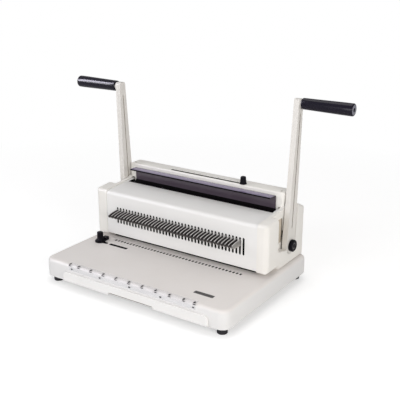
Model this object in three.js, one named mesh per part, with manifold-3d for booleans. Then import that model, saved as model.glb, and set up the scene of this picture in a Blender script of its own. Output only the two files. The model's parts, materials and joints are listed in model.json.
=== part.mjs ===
// Wire binding machine: a bench punch with two side levers, a comb of fins for the wire and a closing bar.
// Millimetres. The origin is at the centre of the base, on the table; +X is right, -Y is the front, +Z is up.
import * as THREE from "three";
import { mergeVertices } from "three/addons/utils/BufferGeometryUtils.js";
import Module from "manifold-3d";

const wasm = await Module();
wasm.setup();

// Clearances and shared allowances
const seatGap = 0.3;
const runGap = 0.3;
const overrun = 4;
const weldShare = 0.001;

// Hole pattern: one slot, one fin and one punch for each wire loop
const loopPitch = 8.467;
const loopCount = 40;
const rowHalf = (loopCount * loopPitch) / 2;

// Half widths, built outwards from the row of holes
const rowMargin = 20.66;
const frameSheet = 5;
const panelMargin = 1.2;
const coverWidth = 25;
const coverLeftExtra = 6.5;
const coverMargin = 9.5;
const raisedOverlap = 7;
const frameInner = rowHalf + rowMargin;
const frameOuter = frameInner + frameSheet;
const panelHalf = frameOuter + panelMargin;
const coverInner = panelHalf + seatGap;
const coverOuter = coverInner + coverWidth;
const raisedHalf = coverInner + raisedOverlap;
const caseHalf = coverOuter + coverMargin;

// Heights, built up from the table: feet, tray, punch shaft, closer shaft, deck, closer bar, raised top
const footHeight = 15;
const casingHeight = 39.5;
const punchPivotRise = 40.5;
const shaftStep = 25;
const deckRise = 49.9;
const closerOpen = 30.1;
const raisedLead = 7.5;
const trayHeight = footHeight + casingHeight;
const punchPivotZ = trayHeight + punchPivotRise;
const closerPivotZ = punchPivotZ + shaftStep;
const deckRearHeight = closerPivotZ + deckRise;
const closerTop = deckRearHeight + closerOpen;
const raisedTop = closerTop + raisedLead;

// Depths: the head keeps its distance to the back of the base
const baseDepth = 334;
const headToBack = 167;
const caseFront = -baseDepth / 2;
const caseBack = baseDepth / 2;
const headShift = caseBack - headToBack;

// Base casing, a moulded shell that is open below
const baseCorner = 20;
const baseEdge = 8;
const casingWall = 3;
const footInset = 20;
const footInsetDepth = 20;
const footRadius = 10.5;
const bossRadius = 6;
const footHollowRadius = 5;
const footHollowDepth = 4;
const footBulge = 0.8;

// Base plate, the steel floor inside the casing
const basePlateSheet = 1.5;

// Chip drawer, with a front that stands proud of the casing and a finger recess in its lower edge
const drawerLeftInset = 58;
const drawerRightInset = 38;
const drawerLeft = -caseHalf + drawerLeftInset;
const drawerRight = caseHalf - drawerRightInset;
const drawerLift = 2;
const drawerBottom = footHeight + drawerLift;
const drawerProud = 5;
const drawerCorner = 10;
const drawerTrayInset = 7;
const drawerTrayLift = 1.9;
const drawerTrayDrop = 4;
const drawerBack = 52;
const drawerWall = 2;
const mouthMargin = 1.5;
const pullLeft = -49;
const pullRight = 64;
const pullHeight = 5;
const pullCorner = 2;
const runnerSheet = 1.2;
const runnerFoot = 12;
const runnerHeight = 13;
const runnerSide = 2;

// Clear gauge strip folded over the front edge of the tray
const stripLeft = -160;
const stripRight = 163.5;
const stripFlap = 12.4;
const stripShelf = 11;
const stripSheet = 0.8;
const stripToDrawer = 4.1;
const drawerTop = trayHeight - stripFlap - stripToDrawer;
const drawerTrayTop = drawerTop - drawerTrayDrop;

// Edge guide and the two slots that it can stand in
const guideInset = 41;
const guideReach = 32;
const guideX = -caseHalf + guideInset;
const guideY = headShift - guideReach;
const guideSlotWidth = 6;
const nearSlotOut = 10;
const nearSlotIn = 21;
const farSlotNear = 28;
const farSlotFar = 77.3;
const nearSlotLeft = guideX - nearSlotOut;
const nearSlotRight = guideX + nearSlotIn;
const farSlotLeft = guideX + farSlotNear;
const farSlotRight = guideX + farSlotFar;
const guideDiscRadius = 12;
const guideSheet = 3.2;
const stopBlockIn = 3;
const stopBlockBack = 15;
const stopBlockX = guideX + stopBlockIn;
const stopBlockY = guideY + stopBlockBack;
const stopBlockEdge = 1.4;
const stopBlockWidth = 11;
const stopBlockDepth = 11;
const stopBlockHeight = 8;
const guideKnobRadius = 7;
const guideKnobHeight = 20;
const guideKnobSkirt = 9;
const guideStemRadius = 2.6;
const guideKnobEdge = 1.4;
const guideNutWidth = 16;
const guideNutThick = 5;

// Steel frame plates that carry the punch set, the shafts and the covers
const frameFoot = 27;
const frameRear = 160.2;
const frameNoseDrop = 13.9;
const frameHeadDrop = 6.5;
const frameNose = deckRearHeight - frameNoseDrop;
const frameHead = raisedTop - frameHeadDrop;
const frameHeadFront = 102;
const frameHeadBack = 128;
const frameShoulderDrop = 11.9;
const frameShoulder = deckRearHeight - frameShoulderDrop;
const frameCorner = 6;
const frameStepBack = 12;

// Punch set: die plate flush with the tray, paper slot, guide, pins and the beam that drives them
const dieFront = 26;
const dieDepth = 20;
const dieThick = 6;
const punchY = 34;
const punchWidth = 4;
const punchHole = 4.4;
const paperSlot = 2.5;
const guideThick = 12;
const punchLift = 2;
const holderDrop = 11;
const punchTip = trayHeight + paperSlot + punchLift;
const holderBottom = punchPivotZ - holderDrop;
const holderThick = 6;
const holderDepth = 10;
const stopStripDepth = 4;
const beamDepth = 14;
const beamHeight = 24;
const beamChamfer = 2;

// Front panel, one folded sheet with the slots, and the deck behind its fold
const panelFront = 2.75;
const panelSheet = 1.2;
const panelLift = 10.5;
const panelBottom = trayHeight + panelLift;
const panelLip = 10;
const deckFall = 5.5;
const foldHeight = deckRearHeight - deckFall;
const foldRadius = 9;
const gapFront = 74;
const gapRear = 98.2;
const strapWidth = 5.2;
const gapHalf = panelHalf - strapWidth;
const slotWidth = 5.2;
const slotLift = 37.9;
const slotLength = 39.8;
const slotBottom = trayHeight + slotLift;
const slotTop = slotBottom + slotLength;

// Comb of fins that holds the open wire
const finSheet = 2;
const finTip = -28.8;
const finNose = 3.2;
const finNoseLength = 12;
const finLift = 64.75;
const finDepth = 11.5;
const finRootDepth = 15.5;
const finMiddle = trayHeight + finLift;
const finTop = finMiddle + finDepth / 2;
const finBottom = finMiddle - finDepth / 2;
const finRootTop = finMiddle + finRootDepth / 2;
const finRootBottom = finMiddle - finRootDepth / 2;
const finNoseDrop = 2.5;
const combBarFront = 8;
const combBarSheet = 6;
const combBarDepth = 22;
const combBarBottom = finMiddle - combBarDepth / 2;
const combBarTop = finMiddle + combBarDepth / 2;

// Moulded side covers with a notch for each lever
const coverWall = 2.5;
const coverFront = 2;
const coverRear = 163;
const coverCorner = 12;
const coverRearCorner = 10;
const coverEdge = 7;
const coverLift = 8.5;
const coverFootEdge = 2;
const coverBottom = trayHeight + coverLift;
const coverStepFront = 50;
const coverStepBack = 54;
const coverProud = 2.4;
const coverMiddleProud = 2.7;
const coverPeakProud = 13.1;
const coverRearDrop = 18;
const coverTopFront = foldHeight + coverProud;
const coverTopMiddle = deckRearHeight + coverMiddleProud;
const coverMiddleY = 88;
const coverPeak = deckRearHeight + coverPeakProud;
const coverPeakFront = 112;
const coverPeakBack = 126;
const coverTopRear = coverPeak - coverRearDrop;
const notchFront = 46;
const notchLift = 2;
const notchFloor = punchPivotZ + notchLift;
const notchCorner = 8;
const notchMargin = 1;
const notchDip = 6;
const channelInset = 6.5;
const channelWall = 2;
const boreGap = 1.5;
const windowFront = 62;
const windowRear = 94;
const windowLift = 8;
const windowTopLift = 61;
const windowBottom = punchPivotZ + windowLift;
const windowTop = punchPivotZ + windowTopLift;
const windowCorner = 5;

// Rear cover with the raised top
const raisedFront = 98.5;
const raisedBack = 133;
const raisedEdge = 5;
const raisedNose = 3;
const raisedBackEdge = 10;
const rearWall = 2.5;
const shoulderRise = 2.1;
const rearShoulder = deckRearHeight + shoulderRise;
const rearBend = 12;
const skirtDrop = 13.9;
const rearFrontSkirt = deckRearHeight - skirtDrop;

// Selector: a knob in a long slot of the raised top, with a stop plate below
const selectorSlotLeft = -89;
const selectorSlotRight = 104;
const selectorY = 105;
const selectorX = 101;
const selectorSlotWidth = 4.2;
const selectorKnobRadius = 7;
const selectorKnobHeight = 16.5;
const selectorSkirtRadius = 7.8;
const selectorSkirtHeight = 2;
const selectorStemRadius = 1.7;
const selectorKnobEdge = 1.1;
const selectorPlateLength = 24;
const selectorPlateDepth = 7;
const selectorPlateThick = 3;

// Closer: an inverted L bar that comes down on a bed, carried by two plates beside the frame
const closerEndGap = 4.7;
const closerHalf = frameInner - closerEndGap;
const closerSheet = 2;
const closerWebBack = 98;
const closerCorner = 1.5;
const bedDrop = 2.5;
const bedTop = deckRearHeight - bedDrop;
const bedSheet = 3;
const bedLip = 7;
const bedMargin = 0.6;
const carrierSheet = 5;
const carrierInset = 5;
const carrierNose = 42.5;
const carrierDrop = 1;
const carrierLow = closerPivotZ - carrierDrop;
const carrierCorner = 4;
const carrierHeelDepth = 12;
const carrierHeelInset = 9.7;
const guidePinRadius = 3.5;
const rearPinY = 88;
const rearPinDrop = 8.4;
const rearPinZ = bedTop - rearPinDrop;
const frontPinY = 62;
const frontPinRise = 20;
const frontPinZ = closerPivotZ + frontPinRise;

// Shafts, bushes, cranks and their travel
const punchPivotY = 102;
const closerPivotY = 99.8;
const shaftRadius = 7.5;
const shaftOverhang = 9.5;
const bushRadius = 10.5;
const bushFlange = 12;
const bushFlangeThick = 1.5;
const crankSheet = 7;
const crankHub = 11.5;
const crankEye = 8;
const crankPinRadius = 4;
const punchCrank = 14;
const closerCrank = 50;
const punchTravel = THREE.MathUtils.degToRad(34);
const closerTravel = THREE.MathUtils.degToRad(28);
const driveStep = 9;
const closerCrankInset = 12;
const closerCrankOuter = frameInner - closerCrankInset;
const punchCrankOuter = closerCrankOuter - driveStep;
const yokeOuter = punchCrankOuter - driveStep;
const yokeSheet = 6;
const yokeProng = 4.8;
const yokeReach = 4.6;
const tieRadius = 6;
const tieInset = 15.2;
const lowTieDrop = 18.5;
const highTieDrop = 10;
const tieY = frameRear - tieInset;
const lowTieZ = trayHeight - lowTieDrop;
const highTieZ = rearFrontSkirt - highTieDrop;

// Levers: flat tapered arms that lean inwards, with a grip across the top
const armLength = 305.5;
const armHub = 17.5;
const armTopHalf = 9.2;
const armThick = 12;
const armCorner = 6;
const armInward = 10;
const punchLean = THREE.MathUtils.degToRad(-7.6);
const closerLean = THREE.MathUtils.degToRad(5.1);
const grooveWidth = 2.4;
const grooveDepth = 2.5;
const grooveStart = 36;
const grooveEnd = 30;
const gripDrop = 9.5;
const gripBoss = 9;
const gripBossLength = 3;
const gripEnd = 326;
const gripInnerRadius = 11.75;
const gripOuterRadius = 12.85;
const gripEdge = 2;
const boltRadius = 3.5;
const boltRecess = 6;
const capRadius = 12.8;
const capLength = 8;
const capEdge = 1.5;
const capDishRadius = 7.5;
const capDishDepth = 1.6;
const capHexRadius = 4;

// Derived places
const caseBottom = footHeight + seatGap;
const basePlateTop = caseBottom + basePlateSheet;
const innerSpan = frameInner - seatGap;
const panelBack = panelFront + panelSheet;
const paperSlotTop = trayHeight + paperSlot;
const punchGuideTop = paperSlotTop + guideThick;
const beamBottom = holderBottom + holderThick + seatGap;
const punchStroke = 2 * punchCrank * Math.sin(punchTravel / 2);
const closerStroke = 2 * closerCrank * Math.sin(closerTravel / 2);
const closerSkirt = closerPivotZ + crankHub + closerStroke + 2 * runGap;
const armTaper = (armHub - armTopHalf) / armLength;
const armSlope = armInward / armLength;

// Facets of round shapes
const roundSides = 20;
const cornerSteps = 4;
const smallSteps = 2;
const filletShare = 0.49;
const leastFillet = 0.2;

// Geometry helpers
function solidOf(geometry) {
  const bare = new THREE.BufferGeometry();
  const source = geometry.index ? geometry.toNonIndexed() : geometry;
  bare.setAttribute("position", source.getAttribute("position"));
  const merged = mergeVertices(bare, seatGap * weldShare);
  return new wasm.Manifold(
    new wasm.Mesh({
      numProp: 3,
      vertProperties: merged.attributes.position.array,
      triVerts: new Uint32Array(merged.index.array),
    }),
  );
}

function geometryOf(solid) {
  const mesh = solid.getMesh();
  const geometry = new THREE.BufferGeometry();
  geometry.setAttribute("position", new THREE.BufferAttribute(mesh.vertProperties, 3));
  geometry.setIndex(new THREE.BufferAttribute(mesh.triVerts, 1));
  const flat = geometry.toNonIndexed();
  flat.computeVertexNormals();
  return flat;
}

const unitX = new THREE.Vector3(1, 0, 0);
const unitY = new THREE.Vector3(0, 1, 0);
const unitZ = new THREE.Vector3(0, 0, 1);
const profilePlanes = {
  x: new THREE.Matrix4().makeBasis(unitY, unitZ, unitX),
  y: new THREE.Matrix4().makeBasis(unitX, unitZ, unitY.clone().negate()),
  z: new THREE.Matrix4(),
};

// Corners [u, v, radius] as points, each rounded by a tangent arc that takes less than half of its edges
function rounded(corners, steps = cornerSteps) {
  return corners.flatMap(([u, v, radius = 0], i) => {
    const here = new THREE.Vector2(u, v);
    if (radius === 0) return [here];
    const [beforeU, beforeV] = corners.at(i - 1);
    const [afterU, afterV] = corners[(i + 1) % corners.length];
    const back = new THREE.Vector2(beforeU, beforeV).sub(here);
    const ahead = new THREE.Vector2(afterU, afterV).sub(here);
    const room = filletShare * Math.min(back.length(), ahead.length());
    back.normalize();
    ahead.normalize();
    const half = Math.acos(back.dot(ahead)) / 2;
    const reach = Math.min(radius / Math.tan(half), room);
    const middle = back.clone().add(ahead).normalize();
    const centre = here.clone().addScaledVector(middle, reach / Math.cos(half));
    const start = here.clone().addScaledVector(back, reach).sub(centre);
    const turn = (Math.PI - 2 * half) * Math.sign(ahead.cross(back));
    return Array.from({ length: steps + 1 }, (_, step) =>
      start.clone().rotateAround(new THREE.Vector2(), (turn * step) / steps).add(centre),
    );
  });
}

// A strip of sheet along an open path of corners, its thickness laid to the left of the path
function folded(path, thickness) {
  const points = path.map(([u, v]) => new THREE.Vector2(u, v));
  const headings = points.slice(1).map((point, i) => point.clone().sub(points[i]).normalize());
  const far = points.map((point, i) => {
    const into = headings[Math.max(i - 1, 0)];
    const out = headings[Math.min(i, headings.length - 1)];
    const sum = new THREE.Vector2(-into.y - out.y, into.x + out.x);
    const offset = point.clone().addScaledVector(sum, thickness / (1 + into.dot(out)));
    const radius = path[i][2] ?? 0;
    const bend = into.cross(out) > 0 ? radius - thickness : radius + thickness;
    return [offset.x, offset.y, radius ? Math.max(bend, 0) : 0];
  });
  return rounded([...path, ...far.reverse()]);
}

function circle(u, v, radius, sides = roundSides) {
  return Array.from({ length: sides }, (_, i) => {
    const angle = (2 * Math.PI * (i + 0.5)) / sides;
    return new THREE.Vector2(u + radius * Math.cos(angle), v + radius * Math.sin(angle));
  });
}

// A slot with round ends between two centres on one line
function slotOutline(u0, v0, u1, v1, radius, steps = cornerSteps) {
  const along = Math.atan2(v1 - v0, u1 - u0);
  const end = (u, v, first) =>
    Array.from({ length: steps + 1 }, (_, i) => {
      const angle = first + (Math.PI * i) / steps;
      return new THREE.Vector2(u + radius * Math.cos(angle), v + radius * Math.sin(angle));
    });
  return [...end(u1, v1, along - Math.PI / 2), ...end(u0, v0, along + Math.PI / 2)];
}

// An outline pushed along one axis from a low to a high place, with holes
function sweep(axis, points, low, high, holes = []) {
  const shape = new THREE.Shape(points);
  shape.holes = holes.map((hole) => new THREE.Path(hole));
  const geometry = new THREE.ExtrudeGeometry(shape, { depth: high - low, bevelEnabled: false });
  geometry.translate(0, 0, axis === "y" ? -high : low);
  return solidOf(geometry.applyMatrix4(profilePlanes[axis]));
}

// Corners moved inwards by a distance, their radii drawn in or let out to match
function insetCorners(corners, distance) {
  const points = corners.map(([u, v]) => new THREE.Vector2(u, v));
  const winding = THREE.ShapeUtils.isClockWise(points) ? -1 : 1;
  return points.map((point, i) => {
    const into = point.clone().sub(points.at(i - 1)).normalize();
    const out = points[(i + 1) % points.length].clone().sub(point).normalize();
    const inward = new THREE.Vector2(-into.y - out.y, into.x + out.x).multiplyScalar(winding);
    const moved = point.addScaledVector(inward, distance / (1 + into.dot(out)));
    const radius = corners[i][2] ?? 0;
    const change = winding * into.cross(out) > 0 ? -distance : distance;
    return [moved.x, moved.y, radius ? Math.max(radius + change, leastFillet) : 0];
  });
}

// Outlines of one point count joined along an axis, closed by a flat face at each end
function loft(axis, sections) {
  const turnedRound = () => sections.map(({ place, points }) => ({ place: -place, points })).reverse();
  const ordered = axis === "y" ? turnedRound() : sections;
  const count = ordered[0].points.length;
  const clockwise = THREE.ShapeUtils.isClockWise(ordered[0].points);
  const ring = ({ place, points }) => points.flatMap((point) => [point.x, point.y, place]);
  const positions = ordered.flatMap(ring);
  const faces = [];
  for (let level = 1; level < ordered.length; level++) {
    for (let i = 0; i < count; i++) {
      const next = (i + 1) % count;
      const [a, b] = [(level - 1) * count + i, (level - 1) * count + next];
      const [c, d] = [level * count + i, level * count + next];
      faces.push([a, b, d], [a, d, c]);
    }
  }
  const last = (ordered.length - 1) * count;
  const start = THREE.ShapeUtils.triangulateShape(ordered[0].points, []);
  const end = THREE.ShapeUtils.triangulateShape(ordered.at(-1).points, []);
  const facing = ([a, b, c], points) =>
    THREE.ShapeUtils.isClockWise([points[a], points[b], points[c]]) === clockwise ? [a, b, c] : [a, c, b];
  start.forEach((face) => faces.push(facing(face, ordered[0].points).reverse()));
  end.forEach((face) => faces.push(facing(face, ordered.at(-1).points).map((index) => index + last)));
  const geometry = new THREE.BufferGeometry();
  geometry.setAttribute("position", new THREE.Float32BufferAttribute(positions, 3));
  geometry.setIndex(faces.flatMap((face) => (clockwise ? face.reverse() : face)));
  return solidOf(geometry.applyMatrix4(profilePlanes[axis]));
}

// Corners swept between two places, with both end faces rounded over by an edge radius
function pillow(axis, corners, low, high, edge, inset = 0) {
  const steps = Array.from({ length: cornerSteps + 1 }, (_, step) => (Math.PI / 2) * (step / cornerSteps));
  const section = (place, angle) => ({
    place,
    points: rounded(insetCorners(corners, inset + edge * (1 - Math.sin(angle)))),
  });
  const rise = steps.map((angle) => section(low + edge * (1 - Math.cos(angle)), angle));
  const fall = steps.map((angle) => section(high - edge * (1 - Math.cos(angle)), angle)).reverse();
  return loft(axis, [...rise, ...fall]);
}

function block(x0, x1, y0, y1, z0, z1) {
  const geometry = new THREE.BoxGeometry(x1 - x0, y1 - y0, z1 - z0);
  geometry.translate((x0 + x1) / 2, (y0 + y1) / 2, (z0 + z1) / 2);
  return solidOf(geometry);
}

function rod(axis, u, v, radius, low, high, sides = roundSides) {
  return sweep(axis, circle(u, v, radius, sides), low, high);
}

// A profile of [radius, place] pairs turned about the Z axis, then set along X where asked
function turned(profile, side = 0) {
  const points = profile.map(([radius, place]) => new THREE.Vector2(radius, place));
  const geometry = new THREE.LatheGeometry(points, roundSides);
  geometry.rotateX(Math.PI / 2);
  if (side) geometry.rotateY((side * Math.PI) / 2);
  return solidOf(geometry);
}

// The same shape on the left or right side, between two distances from the middle
function besideMiddle(side, outline, near, far, holes) {
  return sweep("x", outline, Math.min(side * near, side * far), Math.max(side * near, side * far), holes);
}

function loopX(index) {
  return (index - (loopCount - 1) / 2) * loopPitch;
}

const loops = Array.from({ length: loopCount }, (_, i) => loopX(i));

// Finishes
function finish(color, roughness, metalness) {
  return () => new THREE.MeshStandardMaterial({ color, roughness, metalness });
}
const ivory = finish("#e6e3dc", 0.5, 0);
const blackPlastic = finish("#1d1b22", 0.4, 0);
const blackPaint = finish("#241f2b", 0.35, 0.2);
const rubber = finish("#17161a", 0.85, 0);
const polishedSteel = finish("#8f8d8d", 0.25, 1);
const zincSteel = finish("#a9a59c", 0.4, 1);
const clearPlastic = finish("#dfe4f2", 0.15, 0);
const bronze = finish("#a98754", 0.45, 1);

const machine = new THREE.Group();
const head = new THREE.Group();
head.position.y = headShift;
machine.add(head);

function add(name, solid, material, parent = head) {
  const mesh = new THREE.Mesh(geometryOf(solid), material());
  mesh.name = name;
  parent.add(mesh);
  return mesh;
}

function groupAt(x, y, z) {
  const group = new THREE.Group();
  group.position.set(x, y, z);
  head.add(group);
  return group;
}

// Base
function basePlan(inset) {
  const halfX = caseHalf - inset;
  const front = caseFront + inset;
  const back = caseBack - inset;
  const corner = baseCorner - inset;
  return [
    [-halfX, front, corner],
    [halfX, front, corner],
    [halfX, back, corner],
    [-halfX, back, corner],
  ];
}

const footPlaces = [-1, 1].flatMap((side) =>
  [-1, 1].map((end) => ({
    name: `${end < 0 ? "front" : "rear"}_${side < 0 ? "left" : "right"}`,
    x: side * (caseHalf - footInset),
    y: end * (caseBack - footInsetDepth),
  })),
);

function baseCasing() {
  const below = caseBottom - baseEdge - overrun;
  const outside = pillow("z", basePlan(0), below, trayHeight, baseEdge);
  const ceiling = trayHeight - casingWall;
  const inside = pillow("z", basePlan(casingWall), below - overrun, ceiling, baseEdge - casingWall);
  const belowRim = block(-caseHalf, caseHalf, caseFront, caseBack, below - overrun, caseBottom);
  const trayTools = (left, right) =>
    sweep(
      "z",
      slotOutline(left + guideSlotWidth / 2, guideY, right - guideSlotWidth / 2, guideY, guideSlotWidth / 2),
      trayHeight - casingWall - overrun,
      trayHeight + overrun,
    );
  const mechanismWell = block(
    -frameOuter - seatGap,
    frameOuter + seatGap,
    headShift + dieFront - seatGap,
    headShift + frameRear + seatGap,
    trayHeight - casingWall - overrun,
    trayHeight + overrun,
  );
  const mouth = block(
    drawerLeft + drawerTrayInset - mouthMargin,
    drawerRight - drawerTrayInset + mouthMargin,
    caseFront - overrun,
    caseFront + casingWall + overrun,
    caseBottom - overrun,
    drawerTrayTop + mouthMargin,
  );
  const bosses = footPlaces.map(({ x, y }) =>
    rod("z", x, y, bossRadius, basePlateTop + seatGap, trayHeight - casingWall / 2, roundSides / 2),
  );
  return bosses
    .reduce((body, boss) => body.add(boss), outside.subtract(inside))
    .subtract(belowRim)
    .subtract(mechanismWell)
    .subtract(mouth)
    .subtract(trayTools(nearSlotLeft, nearSlotRight))
    .subtract(trayTools(farSlotLeft, farSlotRight));
}

function basePlate() {
  return sweep("z", rounded(basePlan(casingWall + seatGap)), caseBottom, basePlateTop);
}

function foot() {
  return turned([
    [0, footHollowDepth],
    [footHollowRadius, footHollowDepth],
    [footHollowRadius, 0],
    [footRadius - footBulge, 0],
    [footRadius, footBulge],
    [footRadius, footHeight - footBulge],
    [footRadius - footBulge, footHeight],
    [0, footHeight],
  ]);
}

add("base_casing", baseCasing(), ivory, machine);
add("base_plate", basePlate(), zincSteel, machine);
for (const { name, x, y } of footPlaces) add(`foot_${name}`, foot(), rubber, machine).position.set(x, y, 0);

// Gauge strip over the front edge of the tray
function gaugeStrip() {
  const face = caseFront - seatGap;
  const shelf = trayHeight + seatGap;
  const path = [
    [face + seatGap + stripShelf, shelf],
    [face, shelf, baseEdge + seatGap],
    [face, trayHeight - stripFlap],
  ];
  return sweep("x", folded(path, -stripSheet), stripLeft, stripRight);
}

add("gauge_strip", gaugeStrip(), clearPlastic, machine);

// Chip drawer and its runners
function chipDrawer() {
  const frontFace = caseFront - drawerProud;
  const back = caseFront - seatGap;
  const front = sweep(
    "y",
    rounded([
      [drawerLeft, drawerBottom],
      [pullLeft, drawerBottom],
      [pullLeft, drawerBottom + pullHeight, pullCorner],
      [pullRight, drawerBottom + pullHeight, pullCorner],
      [pullRight, drawerBottom],
      [drawerRight, drawerBottom],
      [drawerRight, drawerTop, drawerCorner],
      [drawerLeft, drawerTop, drawerCorner],
    ]),
    frontFace,
    back,
  );
  const left = drawerLeft + drawerTrayInset;
  const right = drawerRight - drawerTrayInset;
  const floor = drawerBottom + drawerTrayLift;
  const tray = block(left, right, back - drawerProud / 2, drawerBack, floor, drawerTrayTop);
  const hollow = block(
    left + drawerWall,
    right - drawerWall,
    back + drawerWall,
    drawerBack - drawerWall,
    floor + drawerWall,
    drawerTrayTop + overrun,
  );
  const pull = block(pullLeft, pullRight, frontFace, back, floor, drawerBottom + pullHeight);
  return front.add(tray.subtract(pull)).subtract(hollow);
}

function drawerRunner(side) {
  const wall = side < 0 ? drawerLeft + drawerTrayInset - runGap : drawerRight - drawerTrayInset + runGap;
  const base = basePlateTop + seatGap;
  const leg = base + runnerHeight;
  const outer = wall + side * runnerSide;
  const inner = wall - side * runnerFoot;
  const front = caseFront + casingWall + overrun;
  const top = base + runnerSheet;
  const foot = block(Math.min(outer, inner), Math.max(outer, inner), front, drawerBack, base, top);
  const upright = block(Math.min(outer, wall), Math.max(outer, wall), front, drawerBack, base, leg);
  return foot.add(upright);
}

add("chip_drawer", chipDrawer(), ivory, machine);
add("drawer_runner_left", drawerRunner(-1), zincSteel, machine);
add("drawer_runner_right", drawerRunner(1), zincSteel, machine);

// Edge guide: a carriage with a stop block, its clamp knob and the nut plate below the tray
function edgeGuide() {
  const floor = trayHeight + runGap;
  const disc = rod("z", guideX, guideY, guideDiscRadius, floor, floor + guideSheet);
  const halfWidth = stopBlockWidth / 2;
  const halfDepth = stopBlockDepth / 2;
  const armTop = floor + guideSheet;
  const armBack = stopBlockY + halfDepth;
  const arm = block(guideX, stopBlockX + halfWidth, guideY - halfDepth, armBack, floor, armTop);
  const stop = sweep(
    "x",
    rounded([
      [stopBlockY - halfDepth, floor],
      [stopBlockY + halfDepth, floor],
      [stopBlockY + halfDepth, floor + stopBlockHeight, stopBlockEdge],
      [stopBlockY - halfDepth, floor + stopBlockHeight, stopBlockEdge],
    ]),
    stopBlockX - halfWidth,
    stopBlockX + halfWidth,
  );
  const bore = rod("z", guideX, guideY, guideStemRadius + runGap, floor - overrun, armTop + overrun);
  return disc.add(arm).add(stop).subtract(bore);
}

function guideKnob() {
  const seat = guideSheet + 2 * runGap;
  const skirtTop = seat + guideSheet;
  const edge = guideKnobEdge;
  const foot = -casingWall - guideNutThick - 2 * runGap;
  return turned([
    [0, foot],
    [guideStemRadius, foot],
    [guideStemRadius, seat],
    [guideKnobSkirt, seat],
    [guideKnobSkirt, skirtTop - edge],
    [guideKnobRadius + edge, skirtTop],
    [guideKnobRadius, skirtTop + edge],
    [guideKnobRadius, seat + guideKnobHeight - edge],
    [guideKnobRadius - edge, seat + guideKnobHeight],
    [0, seat + guideKnobHeight],
  ]);
}

function guideNut() {
  const top = trayHeight - casingWall - runGap;
  const half = guideNutWidth / 2;
  const nut = block(guideX - half, guideX + half, guideY - half, guideY + half, top - guideNutThick, top);
  const bore = guideStemRadius + runGap;
  return nut.subtract(rod("z", guideX, guideY, bore, top - guideNutThick - overrun, top + overrun));
}

add("edge_guide", edgeGuide(), blackPlastic, machine);
add("edge_guide_knob", guideKnob(), blackPlastic, machine).position.set(guideX, guideY, trayHeight);
add("edge_guide_nut", guideNut(), zincSteel, machine);

// Frame plates: windows for the beam, slots for the closer pins and seats for the bushes
const windowGap = 2 * runGap;
const beamFront = punchY - beamDepth / 2;
const beamBack = punchY + beamDepth / 2;

function framePlate(side) {
  const nose = panelBack + seatGap;
  const base = basePlateTop + seatGap;
  const bedSeat = bedTop - bedSheet - seatGap;
  const bedStep = gapFront + bedMargin + bedSheet + seatGap;
  const outline = rounded([
    [frameFoot, base],
    [frameRear, base, frameCorner],
    [frameRear, frameShoulder, frameCorner],
    [frameHeadBack, frameHead, frameCorner],
    [frameHeadFront, frameHead, frameCorner],
    [frameHeadFront, bedSeat],
    [bedStep, bedSeat],
    [bedStep, frameNose],
    [nose, frameNose, frameStepBack],
    [nose, panelBottom + panelSheet + seatGap],
    [frameFoot, panelBottom + panelSheet + seatGap],
  ]);
  const window = rounded([
    [beamFront - windowGap, beamBottom - punchStroke - windowGap],
    [beamBack + windowGap, beamBottom - punchStroke - windowGap],
    [beamBack + windowGap, beamBottom + beamHeight + windowGap],
    [beamFront - windowGap, beamBottom + beamHeight + windowGap],
  ]);
  const pinSlot = (y, z) => slotOutline(y, z - closerStroke, y, z, guidePinRadius + runGap);
  return besideMiddle(side, outline, frameInner, frameOuter, [
    window,
    pinSlot(rearPinY, rearPinZ),
    pinSlot(frontPinY, frontPinZ),
    circle(punchPivotY, punchPivotZ, bushRadius + seatGap),
    circle(closerPivotY, closerPivotZ, bushRadius + seatGap),
  ]);
}

function bush(side) {
  const bore = shaftRadius + runGap;
  const inner = -bushFlangeThick - seatGap;
  const profile = [
    [bore, inner],
    [bushFlange, inner],
    [bushFlange, -seatGap],
    [bushRadius, -seatGap],
    [bushRadius, frameSheet],
    [bore, frameSheet],
    [bore, inner],
  ];
  return turned(profile, side);
}

for (const [side, word] of [[-1, "left"], [1, "right"]]) {
  add(`frame_plate_${word}`, framePlate(side), zincSteel);
  add(`punch_bush_${word}`, bush(side), bronze).position.set(side * frameInner, punchPivotY, punchPivotZ);
  add(`closer_bush_${word}`, bush(side), bronze).position.set(side * frameInner, closerPivotY, closerPivotZ);
}
add("tie_bar_low", rod("x", tieY, lowTieZ, tieRadius, -innerSpan, innerSpan), zincSteel);
add("tie_bar_high", rod("x", tieY, highTieZ, tieRadius, -innerSpan, innerSpan), zincSteel);

// Punch set: one square hole in the die and the guide for each pin
function holedPlate(front, back, bottom, top) {
  const half = punchHole / 2;
  const plate = block(-innerSpan, innerSpan, front, back, bottom, top);
  const low = bottom - overrun;
  const high = top + overrun;
  const hole = (x) => block(x - half, x + half, punchY - half, punchY + half, low, high);
  return loops.reduce((body, x) => body.subtract(hole(x)), plate);
}

const guideBack = dieFront + dieDepth - stopStripDepth;

function punchPins() {
  const half = punchWidth / 2;
  const reach = loops.at(-1) + loopPitch / 2;
  const holder = block(
    -reach,
    reach,
    punchY - holderDepth / 2,
    punchY + holderDepth / 2,
    holderBottom,
    holderBottom + holderThick,
  );
  const root = holderBottom + holderThick / 2;
  const pin = (x) => block(x - half, x + half, punchY - half, punchY + half, punchTip, root);
  return loops.reduce((body, x) => body.add(pin(x)), holder);
}

function punchBeam() {
  const top = beamBottom + beamHeight;
  return sweep(
    "x",
    rounded([
      [beamFront, beamBottom],
      [beamBack, beamBottom],
      [beamBack, top - beamChamfer],
      [beamBack - beamChamfer, top],
      [beamFront + beamChamfer, top],
      [beamFront, top - beamChamfer],
    ]),
    -frameOuter,
    frameOuter,
  );
}

const punchPinY = punchPivotY - punchCrank * Math.cos(punchTravel / 2);
const punchPinZ = punchPivotZ + punchCrank * Math.sin(punchTravel / 2);

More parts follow.
